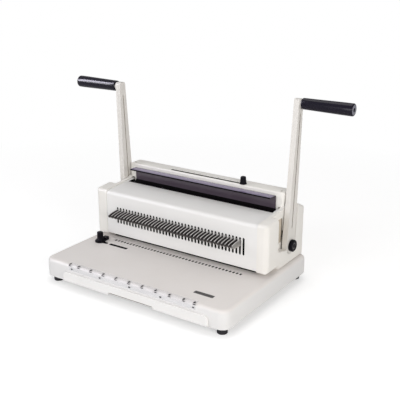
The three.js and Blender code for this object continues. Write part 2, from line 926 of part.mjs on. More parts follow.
function punchYoke(side) {
  const slotHalf = crankPinRadius + runGap;
  const low = punchPinZ - slotHalf;
  const high = punchPinZ + slotHalf;
  const root = punchPinY - crankPinRadius - 2 * runGap;
  const end = punchPinY + yokeReach;
  const start = beamBack + seatGap;
  const outline = rounded([
    [start, low - yokeProng],
    [end, low - yokeProng],
    [end, low],
    [root - runGap, low, slotHalf - runGap],
    [root - runGap, high, slotHalf - runGap],
    [end, high],
    [end, high + yokeProng],
    [start, high + yokeProng],
  ]);
  return besideMiddle(side, outline, yokeOuter - yokeSheet, yokeOuter);
}

add("die_plate", holedPlate(dieFront, dieFront + dieDepth, trayHeight - dieThick, trayHeight), zincSteel);
add("punch_guide", holedPlate(dieFront, guideBack, paperSlotTop, punchGuideTop), zincSteel);
add(
  "paper_stop",
  block(
    -innerSpan,
    innerSpan,
    guideBack - stopStripDepth,
    guideBack,
    trayHeight + seatGap,
    paperSlotTop - seatGap,
  ),
  zincSteel,
);
add("punch_pins", punchPins(), polishedSteel);
add("punch_beam", punchBeam(), zincSteel);
add("punch_yoke_left", punchYoke(-1), zincSteel);
add("punch_yoke_right", punchYoke(1), zincSteel);

// Front panel: one sheet folded at its foot, at the brow and at the gap, with the slots cut through
function frontPanel() {
  const path = [
    [panelFront + panelLip, panelBottom],
    [panelFront, panelBottom, panelSheet],
    [panelFront, foldHeight, foldRadius],
    [gapFront, deckRearHeight, panelSheet],
    [gapFront, deckRearHeight - panelLip],
  ];
  const sheet = sweep("x", folded(path, -panelSheet), -panelHalf, panelHalf);
  const rise = (deckRearHeight - foldHeight) / (gapFront - panelFront);
  const rearHeight = deckRearHeight + rise * (gapRear - gapFront);
  const startY = gapFront - panelSheet;
  const strap = [
    [startY, deckRearHeight - rise * panelSheet],
    [gapRear, rearHeight],
  ];
  const straps = [-1, 1].map((side) => besideMiddle(side, folded(strap, -panelSheet), gapHalf, panelHalf));
  const half = slotWidth / 2;
  const slotAt = (x) => slotOutline(x, slotBottom + half, x, slotTop - half, half, smallSteps);
  const slots = loops.map((x) => sweep("y", slotAt(x), panelFront - overrun, panelBack + seatGap));
  const whole = straps.reduce((body, part) => body.add(part), sheet);
  return slots.reduce((body, slot) => body.subtract(slot), whole);
}

// Comb of fins: flat fingers with a rounded nose, all on one bar behind the panel
function wireComb() {
  const barBack = combBarFront + combBarSheet;
  const bar = block(-innerSpan, innerSpan, combBarFront, barBack, combBarBottom, combBarTop);
  const fin = rounded(
    [
      [combBarFront + combBarSheet / 2, finRootBottom],
      [combBarFront + combBarSheet / 2, finRootTop],
      [finTip + finNoseLength, finTop],
      [finTip, finTop - finNoseDrop, finNose],
      [finTip, finBottom + finNoseDrop, finNose],
      [finTip + finNoseLength, finBottom],
    ],
    smallSteps,
  );
  const half = finSheet / 2;
  return loops.slice(0, -1).reduce((body, x) => body.add(sweep("x", fin, x - half, x + half)), bar);
}

add("front_panel", frontPanel(), ivory);
add("wire_comb", wireComb(), polishedSteel);

// Side covers: a hollow moulding rounded over its outer face, notched where the lever stands
function coverSide() {
  return [
    [coverFront, coverBottom, coverFootEdge],
    [coverStepFront, coverBottom],
    [coverStepBack, trayHeight + seatGap],
    [coverRear, trayHeight + seatGap],
    [coverRear, coverTopRear, coverRearCorner],
    [coverPeakBack, coverPeak, coverRearCorner],
    [coverPeakFront, coverPeak, coverRearCorner],
    [coverMiddleY, coverTopMiddle],
    [coverFront, coverTopFront, foldRadius],
  ];
}

function coverFar(side) {
  return side < 0 ? coverOuter + coverLeftExtra : coverOuter;
}

function coverShape(inset) {
  const deep = coverInner - coverEdge - overrun;
  const body = (side) => {
    const far = coverFar(side) - inset;
    const low = Math.min(side * far, side * deep);
    return pillow("x", coverSide(), low, low + far - deep, coverEdge, inset);
  };
  const corners = (side) => {
    const far = coverFar(side) - inset;
    const plan = [
      [side * deep, coverFront + inset],
      [side * far, coverFront + inset, coverCorner - inset],
      [side * far, coverRear - inset, coverRearCorner - inset],
      [side * deep, coverRear - inset],
    ];
    return sweep("z", rounded(side < 0 ? plan.reverse() : plan), 0, coverPeak + overrun);
  };
  return (side) => body(side).intersect(corners(side));
}

// The channel follows the lever at rest: a round well at the hub and an open top
function leverChannel(side, pivot, lean, floorHeight, near, grow) {
  const hub = armHub + notchMargin;
  const top = coverPeak + overrun;
  const rise = top - pivot.z;
  const rearTop = pivot.y - rise * Math.tan(lean) + (armHub - armTaper * rise + notchMargin) / Math.cos(lean);
  const corners = [
    [notchFront, top],
    [notchFront, floorHeight, notchCorner],
    [pivot.y - hub, pivot.z - notchDip],
    [pivot.y + hub, pivot.z - notchDip],
    [Math.max(rearTop, pivot.y + hub), top],
  ];
  const far = coverFar(side) + overrun;
  const well = besideMiddle(side, circle(pivot.y, pivot.z, hub + grow), near, far);
  return besideMiddle(side, rounded(insetCorners(corners, -grow)), near, far).add(well);
}

// A window through the channel's inner wall, in front of the shafts
function drivingWindow(raised) {
  return rounded([
    [windowFront, windowTop, windowCorner],
    [windowFront, windowBottom + raised, windowCorner],
    [windowRear, windowBottom + raised, windowCorner],
    [windowRear, windowTop, windowCorner],
  ]);
}

function sideCover(side, pivot, otherPivot, lean, floorHeight) {
  const reachIn = coverInner - coverEdge - 2 * overrun;
  const inner = side < 0 ? [-coverInner, -reachIn] : [reachIn, coverInner];
  const joint = side < 0 ? [-raisedHalf - seatGap, -reachIn] : [reachIn, raisedHalf + seatGap];
  const top = coverPeak + overrun;
  const wallStart = coverInner + channelInset;
  const wallEnd = wallStart + channelWall;
  const whole = coverShape(0)(side);
  const lining = whole.intersect(leverChannel(side, pivot, lean, floorHeight, wallStart, channelWall));
  const shaftBores = [pivot, otherPivot].map(({ y, z }) => circle(y, z, shaftRadius + boreGap));
  const bores = [...shaftBores, drivingWindow(pivot.z - punchPivotZ)].map((outline) =>
    besideMiddle(side, outline, wallStart - overrun, wallEnd + overrun),
  );
  const lined = whole
    .subtract(coverShape(coverWall)(side))
    .add(lining)
    .subtract(block(...inner, coverFront - overrun, coverRear + overrun, 0, top))
    .subtract(block(...joint, raisedFront - seatGap, coverRear + overrun, rearShoulder - rearBend, top))
    .subtract(leverChannel(side, pivot, lean, floorHeight, wallEnd, 0));
  return bores.reduce((body, bore) => body.subtract(bore), lined);
}

const punchPivot = { y: punchPivotY, z: punchPivotZ };
const closerPivot = { y: closerPivotY, z: closerPivotZ };
add("side_cover_right", sideCover(1, punchPivot, closerPivot, punchLean, notchFloor), ivory);
add(
  "side_cover_left",
  sideCover(-1, closerPivot, punchPivot, closerLean, notchFloor + shaftStep),
  ivory,
);

// Rear cover: the raised top, its cheeks and the rear wall
function rearCover() {
  const corners = [
    [raisedFront, rearFrontSkirt],
    [raisedFront, raisedTop, raisedNose],
    [raisedBack, raisedTop, raisedBackEdge],
    [coverRear, rearShoulder, rearBend],
    [coverRear, rearFrontSkirt],
  ];
  const outside = pillow("x", corners, -raisedHalf, raisedHalf, raisedEdge);
  const inside = pillow("x", corners, -raisedHalf + rearWall, raisedHalf - rearWall, raisedEdge, rearWall);
  const below = block(
    -raisedHalf + rearWall,
    raisedHalf - rearWall,
    raisedFront + rearWall,
    coverRear - rearWall,
    rearFrontSkirt - overrun,
    rearFrontSkirt + 2 * rearWall,
  );
  const seam = rearShoulder + rearWall;
  const ends = [-1, 1].flatMap((side) => {
    const out = side * (raisedHalf + overrun);
    const wall = side * panelHalf;
    const frame = side * innerSpan;
    const low = rearFrontSkirt - overrun;
    const cut = (edge, back) =>
      block(Math.min(edge, out), Math.max(edge, out), raisedFront - overrun, back, low, seam);
    return [cut(wall, coverRear + overrun), cut(frame, raisedFront + rearWall + seatGap)];
  });
  const wall = block(
    -panelHalf,
    panelHalf,
    coverRear - rearWall,
    coverRear,
    trayHeight + seatGap,
    rearFrontSkirt + rearWall,
  );
  const half = selectorSlotWidth / 2;
  const slot = sweep(
    "z",
    slotOutline(selectorSlotLeft + half, selectorY, selectorSlotRight - half, selectorY, half),
    raisedTop - rearWall - overrun,
    raisedTop + overrun,
  );
  const shell = outside.subtract(inside).subtract(below);
  return ends.reduce((body, cut) => body.subtract(cut), shell).add(wall).subtract(slot);
}

add("rear_cover", rearCover(), ivory);

// Selector knob and the stop plate that hangs on its stem below the raised top
const selectorPlateTop = raisedTop - rearWall - runGap;

function selectorKnob() {
  const seat = runGap;
  const edge = selectorKnobEdge;
  const foot = -rearWall - runGap - selectorPlateThick;
  return turned([
    [0, foot],
    [selectorStemRadius, foot],
    [selectorStemRadius, seat],
    [selectorSkirtRadius, seat],
    [selectorSkirtRadius, seat + selectorSkirtHeight],
    [selectorKnobRadius, seat + selectorSkirtHeight],
    [selectorKnobRadius - edge, selectorKnobHeight - edge],
    [selectorKnobRadius - 2 * edge, selectorKnobHeight],
    [0, selectorKnobHeight],
  ]);
}

function selectorPlate() {
  const half = selectorPlateLength / 2;
  const back = selectorY + selectorPlateDepth;
  const front = raisedFront + raisedNose + runGap;
  const low = selectorPlateTop - selectorPlateThick;
  const plate = block(selectorX - half, selectorX + half, front, back, low, selectorPlateTop);
  const hole = selectorStemRadius + seatGap;
  return plate.subtract(rod("z", selectorX, selectorY, hole, low - overrun, selectorPlateTop + overrun));
}

add("selector_knob", selectorKnob(), blackPlastic).position.set(selectorX, selectorY, raisedTop);
add("selector_plate", selectorPlate(), zincSteel);

// Closer bar, bed and carriers
function closerBar() {
  const path = [
    [gapFront, closerTop],
    [closerWebBack, closerTop, closerCorner + closerSheet],
    [closerWebBack, closerSkirt],
  ];
  return sweep("x", folded(path, -closerSheet), -closerHalf, closerHalf);
}

function closerBed() {
  const back = closerWebBack - closerSheet - bedMargin;
  const front = gapFront + bedMargin;
  const path = [
    [front, bedTop - bedLip],
    [front, bedTop, bedSheet],
    [back, bedTop],
  ];
  return sweep("x", folded(path, -bedSheet), -frameOuter, frameOuter);
}

const closerPinY = closerPivotY - closerCrank * Math.cos(closerTravel / 2);
const closerPinZ = closerPivotZ + closerCrank * Math.sin(closerTravel / 2);
const closerPinSwing = closerCrank * (1 - Math.cos(closerTravel / 2));

function closerCarrier(side) {
  const near = frameInner - carrierInset - carrierSheet;
  const far = frameInner - carrierInset;
  const heel = closerWebBack - closerSheet - seatGap;
  const heelTop = bedTop - bedSheet - 2 * seatGap;
  const outline = rounded([
    [carrierNose, carrierLow, carrierCorner],
    [frontPinY - carrierCorner, carrierLow, carrierCorner],
    [heel - carrierHeelInset, heelTop - carrierHeelDepth, carrierCorner],
    [heel, heelTop - carrierHeelDepth],
    [heel, heelTop],
    [heel - carrierHeelDepth, heelTop, carrierCorner],
    [carrierNose, frontPinZ, carrierCorner],
  ]);
  const reach = closerPinY + runGap;
  const start = closerPinY - closerPinSwing - runGap;
  const slot = slotOutline(start, closerPinZ, reach, closerPinZ, crankPinRadius + runGap);
  const plate = besideMiddle(side, outline, near, far, [slot]);
  const pinEnd = frameOuter - seatGap;
  const pins = [
    [rearPinY, rearPinZ],
    [frontPinY, frontPinZ],
  ].map(([y, z]) => {
    const outline = circle(y, z, guidePinRadius, roundSides / 2);
    return besideMiddle(side, outline, near + carrierSheet / 2, pinEnd);
  });
  return pins.reduce((body, pin) => body.add(pin), plate);
}

add("closer_bar", closerBar(), blackPaint);
add("closer_bed", closerBed(), blackPaint);
add("closer_carrier_left", closerCarrier(-1), zincSteel);
add("closer_carrier_right", closerCarrier(1), zincSteel);

// A crank: a hub and an eye joined by straight flanks, with a pin that points to the driven plate
function crank(side, { reach, travel, outer, pinFar }) {
  const direction = Math.PI - travel / 2;
  const eye = new THREE.Vector2(reach, 0).rotateAround(new THREE.Vector2(), direction);
  const flank = Math.acos((crankHub - crankEye) / reach);
  const arc = (centre, radius, from, to) =>
    Array.from({ length: roundSides / 2 + 1 }, (_, i) => {
      const angle = from + ((to - from) * i) / (roundSides / 2);
      return new THREE.Vector2(radius * Math.cos(angle), radius * Math.sin(angle)).add(centre);
    });
  const outline = [
    ...arc(eye, crankEye, direction - flank, direction + flank),
    ...arc(new THREE.Vector2(), crankHub, direction + flank, direction - flank + 2 * Math.PI),
  ];
  const plate = besideMiddle(side, outline, outer - crankSheet, outer, [circle(0, 0, shaftRadius + seatGap)]);
  const middle = outer - crankSheet / 2;
  const pin = circle(eye.x, eye.y, crankPinRadius);
  return plate.add(besideMiddle(side, pin, Math.min(middle, pinFar), Math.max(middle, pinFar)));
}

// A lever arm: round hub, straight taper, grooved faces, leaning towards the middle as it rises
function leverArm(side, pivotZ, lean) {
  const raised = pivotZ - punchPivotZ;
  const length = armLength - raised / Math.cos(lean);
  const hub = armHub - armTaper * raised;
  const outer = coverOuter - armSlope * raised;
  const inner = outer - armThick;
  const hubArc = Array.from({ length: roundSides / 2 + 1 }, (_, i) => {
    const angle = Math.PI + (Math.PI * i) / (roundSides / 2);
    return new THREE.Vector2(hub * Math.cos(angle), hub * Math.sin(angle));
  });
  const topCorners = rounded([
    [-hub, 0],
    [hub, 0],
    [armTopHalf, length, armCorner],
    [-armTopHalf, length, armCorner],
  ]).slice(2);
  const seat = circle(0, 0, shaftRadius + seatGap);
  const blank = besideMiddle(side, [...hubArc, ...topCorners], inner, outer, [seat]);
  const groove = slotOutline(0, grooveStart, 0, length - grooveEnd, grooveWidth / 2);
  const grooves = [
    besideMiddle(side, groove, inner - overrun, inner + grooveDepth),
    besideMiddle(side, groove, outer - grooveDepth, outer + overrun),
  ];
  const grip = length - gripDrop;
  const straight = grooves.reduce((body, cut) => body.subtract(cut), blank);
  const shear = new THREE.Matrix4().set(1, 0, -side * armSlope, 0, 0, 1, 0, 0, 0, 0, 1, 0, 0, 0, 0, 1);
  const leaning = solidOf(geometryOf(straight).applyMatrix4(shear));
  const face = outer - armSlope * grip;
  const boss = besideMiddle(side, circle(0, grip, gripBoss), face - armThick / 2, face + gripBossLength);
  const bore = circle(0, grip, boltRadius + seatGap, roundSides / 2);
  const hole = besideMiddle(side, bore, face - armThick - overrun, gripEnd);
  return { solid: leaning.add(boss).subtract(hole), grip, face, outer };
}

function gripShell(face) {
  const start = face + gripBossLength + seatGap;
  const bore = boltRadius + seatGap;
  return [
    [bore, start],
    [gripInnerRadius - gripEdge, start],
    [gripInnerRadius, start + gripEdge],
    [gripOuterRadius, gripEnd - 2 * gripEdge],
    [gripOuterRadius - gripEdge / 2, gripEnd - gripEdge / 2],
    [gripOuterRadius - gripEdge, gripEnd],
    [bore, gripEnd],
    [bore, start],
  ];
}

function pivotCap(outer) {
  const start = outer + seatGap + armSlope * capRadius;
  const end = start + capLength;
  return [
    [0, start],
    [capRadius, start],
    [capRadius, end - capEdge],
    [capRadius - capEdge, end],
    [capDishRadius, end],
    [capDishRadius, end - capDishDepth],
    [capHexRadius, end - capDishDepth],
    [capHexRadius, end],
    [0, end],
  ];
}

// A drive: lever, grip, cap, shaft and the two cranks, all turning about one pivot
function drive(word, side, place, lean, throws) {
  const pivot = groupAt(0, place.y, place.z);
  const swing = new THREE.Group();
  swing.rotation.x = lean;
  pivot.add(swing);
  const arm = leverArm(side, place.z, lean);
  add(`${word}_lever`, arm.solid, ivory, swing);
  add(`${word}_grip`, turned(gripShell(arm.face), side), blackPlastic, swing).position.z = arm.grip;
  const boltStart = arm.face - armThick / 2;
  const shank = circle(0, arm.grip, boltRadius, roundSides / 2);
  const bolt = besideMiddle(side, shank, boltStart, gripEnd - boltRecess);
  add(`${word}_grip_bolt`, bolt, zincSteel, swing);
  add(`${word}_pivot_cap`, turned(pivotCap(arm.outer), side), blackPlastic, swing);
  const shaftEnd = side * (arm.outer - seatGap);
  const farEnd = -side * (frameOuter + shaftOverhang);
  const shaft = rod("x", 0, 0, shaftRadius, Math.min(shaftEnd, farEnd), Math.max(shaftEnd, farEnd));
  add(`${word}_shaft`, shaft, zincSteel, pivot);
  add(`${word}_crank_left`, crank(-1, throws), zincSteel, pivot);
  add(`${word}_crank_right`, crank(1, throws), zincSteel, pivot);
}

drive("punch", 1, punchPivot, punchLean, {
  reach: punchCrank,
  travel: punchTravel,
  outer: punchCrankOuter,
  pinFar: yokeOuter - yokeSheet,
});
drive("closer", -1, closerPivot, closerLean, {
  reach: closerCrank,
  travel: closerTravel,
  outer: closerCrankOuter,
  pinFar: frameInner - carrierInset,
});

export default machine;
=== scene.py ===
import json
import math

import bmesh
import bpy
import numpy as np
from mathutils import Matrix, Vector

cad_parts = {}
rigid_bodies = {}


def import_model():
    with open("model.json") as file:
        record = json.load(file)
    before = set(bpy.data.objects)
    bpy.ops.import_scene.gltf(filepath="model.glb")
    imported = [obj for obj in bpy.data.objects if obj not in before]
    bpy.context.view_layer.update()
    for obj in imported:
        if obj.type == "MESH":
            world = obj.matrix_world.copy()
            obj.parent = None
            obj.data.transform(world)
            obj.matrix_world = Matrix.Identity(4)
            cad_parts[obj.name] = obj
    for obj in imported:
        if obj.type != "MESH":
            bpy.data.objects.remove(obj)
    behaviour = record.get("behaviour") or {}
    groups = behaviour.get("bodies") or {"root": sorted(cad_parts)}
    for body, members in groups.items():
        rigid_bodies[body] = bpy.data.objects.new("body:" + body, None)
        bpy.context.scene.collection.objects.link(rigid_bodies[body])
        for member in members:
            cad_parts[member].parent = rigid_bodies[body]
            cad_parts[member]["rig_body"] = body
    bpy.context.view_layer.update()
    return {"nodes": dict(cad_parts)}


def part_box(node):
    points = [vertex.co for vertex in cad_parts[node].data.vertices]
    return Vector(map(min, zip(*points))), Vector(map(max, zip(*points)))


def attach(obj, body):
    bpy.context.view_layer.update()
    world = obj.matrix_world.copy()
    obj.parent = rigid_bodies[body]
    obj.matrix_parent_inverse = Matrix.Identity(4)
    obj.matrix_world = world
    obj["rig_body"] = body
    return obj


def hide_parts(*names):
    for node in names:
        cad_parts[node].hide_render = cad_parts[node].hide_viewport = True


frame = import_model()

scene = bpy.context.scene
scene.view_settings.view_transform = "Standard"


# Camera. It stands to the right of the machine and looks down on it at about nineteen degrees,
# with the lens and the distance that put the corners of the machine where the photograph has them.
azimuth, elevation = math.radians(34.1), math.radians(19.07)
aim, distance = Vector((0.06075, 0.0, 0.1932)), 1.5469
camera_data = bpy.data.cameras.new("studio_camera")
camera_data.sensor_width = 36.0
camera_data.lens = 67.54
camera_data.clip_end = 200.0
camera = bpy.data.objects.new("studio_camera", camera_data)
scene.collection.objects.link(camera)
scene.camera = camera
level = math.cos(elevation)
sight = Vector((-math.sin(azimuth) * level, math.cos(azimuth) * level, -math.sin(elevation)))
camera.location = aim - sight * distance
camera.rotation_euler = sight.to_track_quat("-Z", "Y").to_euler()


# Soft boxes. A wide one lights the front, a narrow one the left side, a third one the right side,
# and a weak one hangs over the machine. A tall strip far to the left shows in reflections only,
# and makes the line of light along the left grip.
def soft_box(name, place, target, size, power, tint, matt=True):
    """A rectangular area lamp at `place` that faces `target`, with the width and height `size`.
    Without `matt` it shows in reflections only."""
    lamp = bpy.data.lights.new(name, "AREA")
    lamp.shape = "RECTANGLE"
    lamp.size, lamp.size_y = size
    lamp.energy = power
    lamp.color = tint
    holder = bpy.data.objects.new(name, lamp)
    scene.collection.objects.link(holder)
    holder.visible_diffuse = matt
    holder.location = place
    holder.rotation_euler = (Vector(target) - Vector(place)).to_track_quat("-Z", "Y").to_euler()


soft_box(
    "front_box", place=(-0.15, -2.3, 0.8), target=(0.0, 0.0, 0.15), size=(1.1, 1.2),
    power=12.8, tint=(0.98, 0.985, 1.0),
)
soft_box(
    "left_box", place=(-1.80, -1.55, 1.05), target=(-0.27, 0.1, 0.35), size=(0.5, 1.0),
    power=11.5, tint=(0.97, 0.97, 1.0),
)
soft_box(
    "line_box", place=(-1.78, -1.21, 1.50), target=(-0.27, 0.1, 0.38), size=(0.4, 1.7),
    power=62.0, tint=(0.89, 0.86, 1.0), matt=False,
)
soft_box(
    "side_box", place=(1.7, -0.92, 0.62), target=(0.1, -0.1, 0.15), size=(0.9, 0.9),
    power=17.5, tint=(1.0, 0.975, 0.94),
)
soft_box(
    "top_box", place=(-0.2, 0.5, 2.2), target=(0.0, 0.0, 0.1), size=(1.4, 1.4),
    power=9.4, tint=(1.0, 0.985, 0.98),
)


# Room. An even white room lights the machine softly from all sides, and what the camera or a
# clear piece sees of it directly is plain white.
def new_node(tree, kind, values=None):
    """A new node of this kind in a node tree, with these values on its named inputs."""
    node = tree.nodes.new(kind)
    for name, value in (values or {}).items():
        node.inputs[name].default_value = value
    return node


def seen_directly(tree):
    """1 for camera and glass rays, 0 for the rays that only carry light or reflections."""
    path = new_node(tree, "ShaderNodeLightPath")
    both = new_node(tree, "ShaderNodeMath")
    both.operation = "MAXIMUM"
    tree.links.new(path.outputs["Is Camera Ray"], both.inputs[0])
    tree.links.new(path.outputs["Is Transmission Ray"], both.inputs[1])
    return both.outputs[0]


def shader_mix(tree, share, first, second):
    """A mix of two shaders: the first one where `share` is 0, the second one where it is 1."""
    mix = new_node(tree, "ShaderNodeMixShader")
    tree.links.new(share, mix.inputs["Fac"])
    tree.links.new(first.outputs[0], mix.inputs[1])
    tree.links.new(second.outputs[0], mix.inputs[2])
    return mix


white = (1.0, 1.0, 1.0, 1.0)
sky = bpy.data.worlds.new("studio")
scene.world = sky
sky.use_nodes = True
sky_tree = sky.node_tree
room_light = sky_tree.nodes["Background"]
room_light.inputs["Color"].default_value = white
room_light.inputs["Strength"].default_value = 0.42
seen_white = new_node(sky_tree, "ShaderNodeBackground", {"Color": white, "Strength": 1.0})
sky_mix = shader_mix(sky_tree, seen_directly(sky_tree), room_light, seen_white)
sky_tree.links.new(sky_mix.outputs[0], sky_tree.nodes["World Output"].inputs["Surface"])


# Floor. A sheet of white studio paper that runs far back and turns to plain white away from the
# machine, while near the machine it is matt paper that takes the shadow.
paper_reach = 60.0
paper_corners = [
    (across * paper_reach, along * paper_reach, 0.0)
    for across, along in ((-1, -1), (1, -1), (1, 1), (-1, 1))
]
floor_mesh = bpy.data.meshes.new("studio_floor")
floor_mesh.from_pydata(paper_corners, [], [(0, 1, 2, 3)])
floor = bpy.data.objects.new("studio_floor", floor_mesh)
scene.collection.objects.link(floor)
paper = bpy.data.materials.new("studio_paper")
paper.use_nodes = True
paper_tree = paper.node_tree
paper_tree.nodes.remove(paper_tree.nodes["Principled BSDF"])
paper_matt = new_node(paper_tree, "ShaderNodeBsdfDiffuse", {"Color": (0.74, 0.74, 0.74, 1.0)})
paper_lift = new_node(paper_tree, "ShaderNodeEmission", {"Strength": 0.45})
paper_near = new_node(paper_tree, "ShaderNodeAddShader")
paper_tree.links.new(paper_matt.outputs[0], paper_near.inputs[0])
paper_tree.links.new(paper_lift.outputs[0], paper_near.inputs[1])
paper_far = new_node(paper_tree, "ShaderNodeEmission", {"Strength": 1.0})
paper_place = new_node(paper_tree, "ShaderNodeTexCoord")
paper_distance = new_node(paper_tree, "ShaderNodeVectorMath")
paper_distance.operation = "LENGTH"
paper_tree.links.new(paper_place.outputs["Object"], paper_distance.inputs[0])
paper_fade = new_node(paper_tree, "ShaderNodeMapRange", {"From Min": 0.45, "From Max": 1.3})
paper_tree.links.new(paper_distance.outputs["Value"], paper_fade.inputs["Value"])
paper_seen = shader_mix(paper_tree, paper_fade.outputs["Result"], paper_near, paper_far)
paper_out = shader_mix(paper_tree, seen_directly(paper_tree), paper_matt, paper_seen)
paper_tree.links.new(paper_out.outputs[0], paper_tree.nodes["Material Output"].inputs["Surface"])
floor_mesh.materials.append(paper)


# Base casing. One large moulding in ivory plastic, open below, with rounded top edges and a fine
# spark grain, and with two narrow slots cut through its tray for the edge guide. Its sides are
# painted darker and cooler than its top, a painted shade by the normal's Z.
def colour_blend(tree, share, second):
    """A mix of two colours by `share`: `second` where it is 1, and at 0 the one still to be set."""
    blend = new_node(tree, "ShaderNodeMix")
    blend.data_type = "RGBA"
    blend.inputs["B"].default_value = (*second, 1.0)
    tree.links.new(share, blend.inputs["Factor"])
    return blend


def surface_finish(
    name, tone, second, patch, grain, relief, dull, spread,
    metal=0.0, stretch=(1.0, 1.0, 1.0), specular=0.5,
):
    """Base colour = mix of two tones by a wide noise with `patch` bumps a metre, roughness =
    dull + spread x a middle noise, height = relief (m) x a fine noise with `grain` bumps a metre.
    `stretch` draws the noises out along an axis."""
    material = bpy.data.materials.new(name)
    material.use_nodes = True
    tree = material.node_tree
    shader = tree.nodes["Principled BSDF"]
    shader.inputs["Metallic"].default_value = metal
    shader.inputs["Specular IOR Level"].default_value = specular
    place = new_node(tree, "ShaderNodeTexCoord")
    drawn = new_node(tree, "ShaderNodeMapping", {"Scale": stretch})
    tree.links.new(place.outputs["Object"], drawn.inputs["Vector"])

    def noise(scale, detail):
        """Noise with about `scale` bumps a metre, on the drawn-out coordinates."""
        made = new_node(tree, "ShaderNodeTexNoise", {"Scale": scale, "Detail": detail})
        tree.links.new(drawn.outputs["Vector"], made.inputs["Vector"])
        return made.outputs["Fac"]

    reach = new_node(tree, "ShaderNodeMapRange", {"From Min": 0.35, "From Max": 0.65})
    tree.links.new(noise(patch, detail=4.0), reach.inputs["Value"])
    blend = colour_blend(tree, reach.outputs["Result"], second)
    blend.inputs["A"].default_value = (*tone, 1.0)
    tree.links.new(blend.outputs["Result"], shader.inputs["Base Color"])
    between = {"From Min": 0.3, "From Max": 0.7, "To Min": dull, "To Max": dull + spread}
    gloss = new_node(tree, "ShaderNodeMapRange", between)
    finer = 9.0
    tree.links.new(noise(patch * finer, detail=6.0), gloss.inputs["Value"])
    tree.links.new(gloss.outputs["Result"], shader.inputs["Roughness"])
    bump = new_node(tree, "ShaderNodeBump", {"Distance": relief, "Strength": 0.6})
    tree.links.new(noise(grain, detail=2.0), bump.inputs["Height"])
    tree.links.new(bump.outputs["Normal"], shader.inputs["Normal"])
    return material


def parted(material, kind, output):
    """The X, Y and Z of one output of a coordinate or geometry node."""
    tree = material.node_tree
    parts = new_node(tree, "ShaderNodeSeparateXYZ")
    tree.links.new(new_node(tree, kind).outputs[output], parts.inputs[0])
    return parts.outputs


def toned(material, value, low, high, tone, easing="LINEAR"):
    """Turns the base colour into `tone` as `value` goes from `low` to `high`: the share of the
    tone is (value - low) / (high - low), kept between 0 and 1 and eased."""
    tree = material.node_tree
    step = new_node(tree, "ShaderNodeMapRange", {"From Min": low, "From Max": high})
    step.interpolation_type = easing
    tree.links.new(value, step.inputs["Value"])
    blend = colour_blend(tree, step.outputs["Result"], tone)
    base_colour = tree.nodes["Principled BSDF"].inputs["Base Color"]
    tree.links.new(base_colour.links[0].from_socket, blend.inputs["A"])
    tree.links.new(blend.outputs["Result"], base_colour)


def dressed(node, piece, material, edge):
    """A copy of a CAD solid with its loose triangles joined, its flat faces made whole and its
    sharp edges rounded. No vertex of the solid moves: each edge that turns by more than the
    crease angle gets an arc `edge` metres wide."""
    crease = math.radians(32.0)
    mesh = frame["nodes"][node].data.copy()
    mesh.name = piece
    if "custom_normal" in mesh.attributes:
        mesh.attributes.remove(mesh.attributes["custom_normal"])
    work = bmesh.new()
    work.from_mesh(mesh)
    bmesh.ops.remove_doubles(work, verts=work.verts, dist=2e-6)
    flat = math.radians(0.4)
    bmesh.ops.dissolve_limit(work, angle_limit=flat, verts=work.verts, edges=work.edges)
    for face in work.faces:
        face.smooth = True
    work.to_mesh(mesh)
    work.free()
    mesh.set_sharp_from_angle(angle=crease)
    mesh.materials.clear()
    mesh.materials.append(material)
    made = bpy.data.objects.new(piece, mesh)
    scene.collection.objects.link(made)
    rounding = made.modifiers.new("edge_rounding", "BEVEL")
    rounding.width = edge
    rounding.segments = 3
    rounding.limit_method = "ANGLE"
    rounding.angle_limit = crease
    rounding.harden_normals = True
    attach(made, frame["nodes"][node]["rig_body"])
    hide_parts(node)
    return made


tray_ivory = surface_finish(
    "tray_ivory", (0.805, 0.77, 0.75), (0.78, 0.742, 0.718),
    patch=7.0, grain=1500.0, relief=0.00006, dull=0.46, spread=0.12,
)
tray_upward = parted(tray_ivory, "ShaderNodeNewGeometry", "Normal")["Z"]
# Painted shade: as the normal's Z falls from 0.8 to 0.2 the colour turns darker and cooler.
toned(tray_ivory, tray_upward, low=0.8, high=0.2, tone=(0.765, 0.755, 0.75))
dressed("base_casing", "base_moulding", tray_ivory, edge=0.0006)


# Print on the tray. A row of black dots shows where the loops will go, and a plain dark patch
# lies near the front. Both are screen printed, so they stand up by the thickness of the ink.
def gridded(piece, points, material, body, round_rows=False):
    """One mesh from grids of points (copies, rows, columns, xyz). Neighbouring points are joined
    by quads, the last column is joined to the first, and with `round_rows` the last row too.
    Points that coincide are merged."""
    points = np.asarray(points, float)
    index = np.arange(points[..., 0].size).reshape(points.shape[:3])
    near = index if round_rows else index[:, :-1]
    far = np.roll(index, -1, 1) if round_rows else index[:, 1:]
    quads = np.stack([near, np.roll(near, -1, 2), np.roll(far, -1, 2), far], -1).reshape(-1, 4)
    mesh = bpy.data.meshes.new(piece)
    mesh.from_pydata(points.reshape(-1, 3).tolist(), [], quads.tolist())
    work = bmesh.new()
    work.from_mesh(mesh)
    bmesh.ops.remove_doubles(work, verts=work.verts, dist=1e-7)
    bmesh.ops.dissolve_degenerate(work, edges=work.edges, dist=1e-8)
    bmesh.ops.recalc_face_normals(work, faces=work.faces)
    for face in work.faces:
        face.smooth = True
    work.to_mesh(mesh)
    work.free()
    crease = math.radians(35.0)
    mesh.set_sharp_from_angle(angle=crease)
    mesh.materials.append(material)
    made = bpy.data.objects.new(piece, mesh)
    scene.collection.objects.link(made)
    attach(made, body)
    return made


def full_turn(sides):
    """The angles of that many points spread evenly round a circle."""
    return np.linspace(0.0, 2.0 * np.pi, sides, endpoint=False)


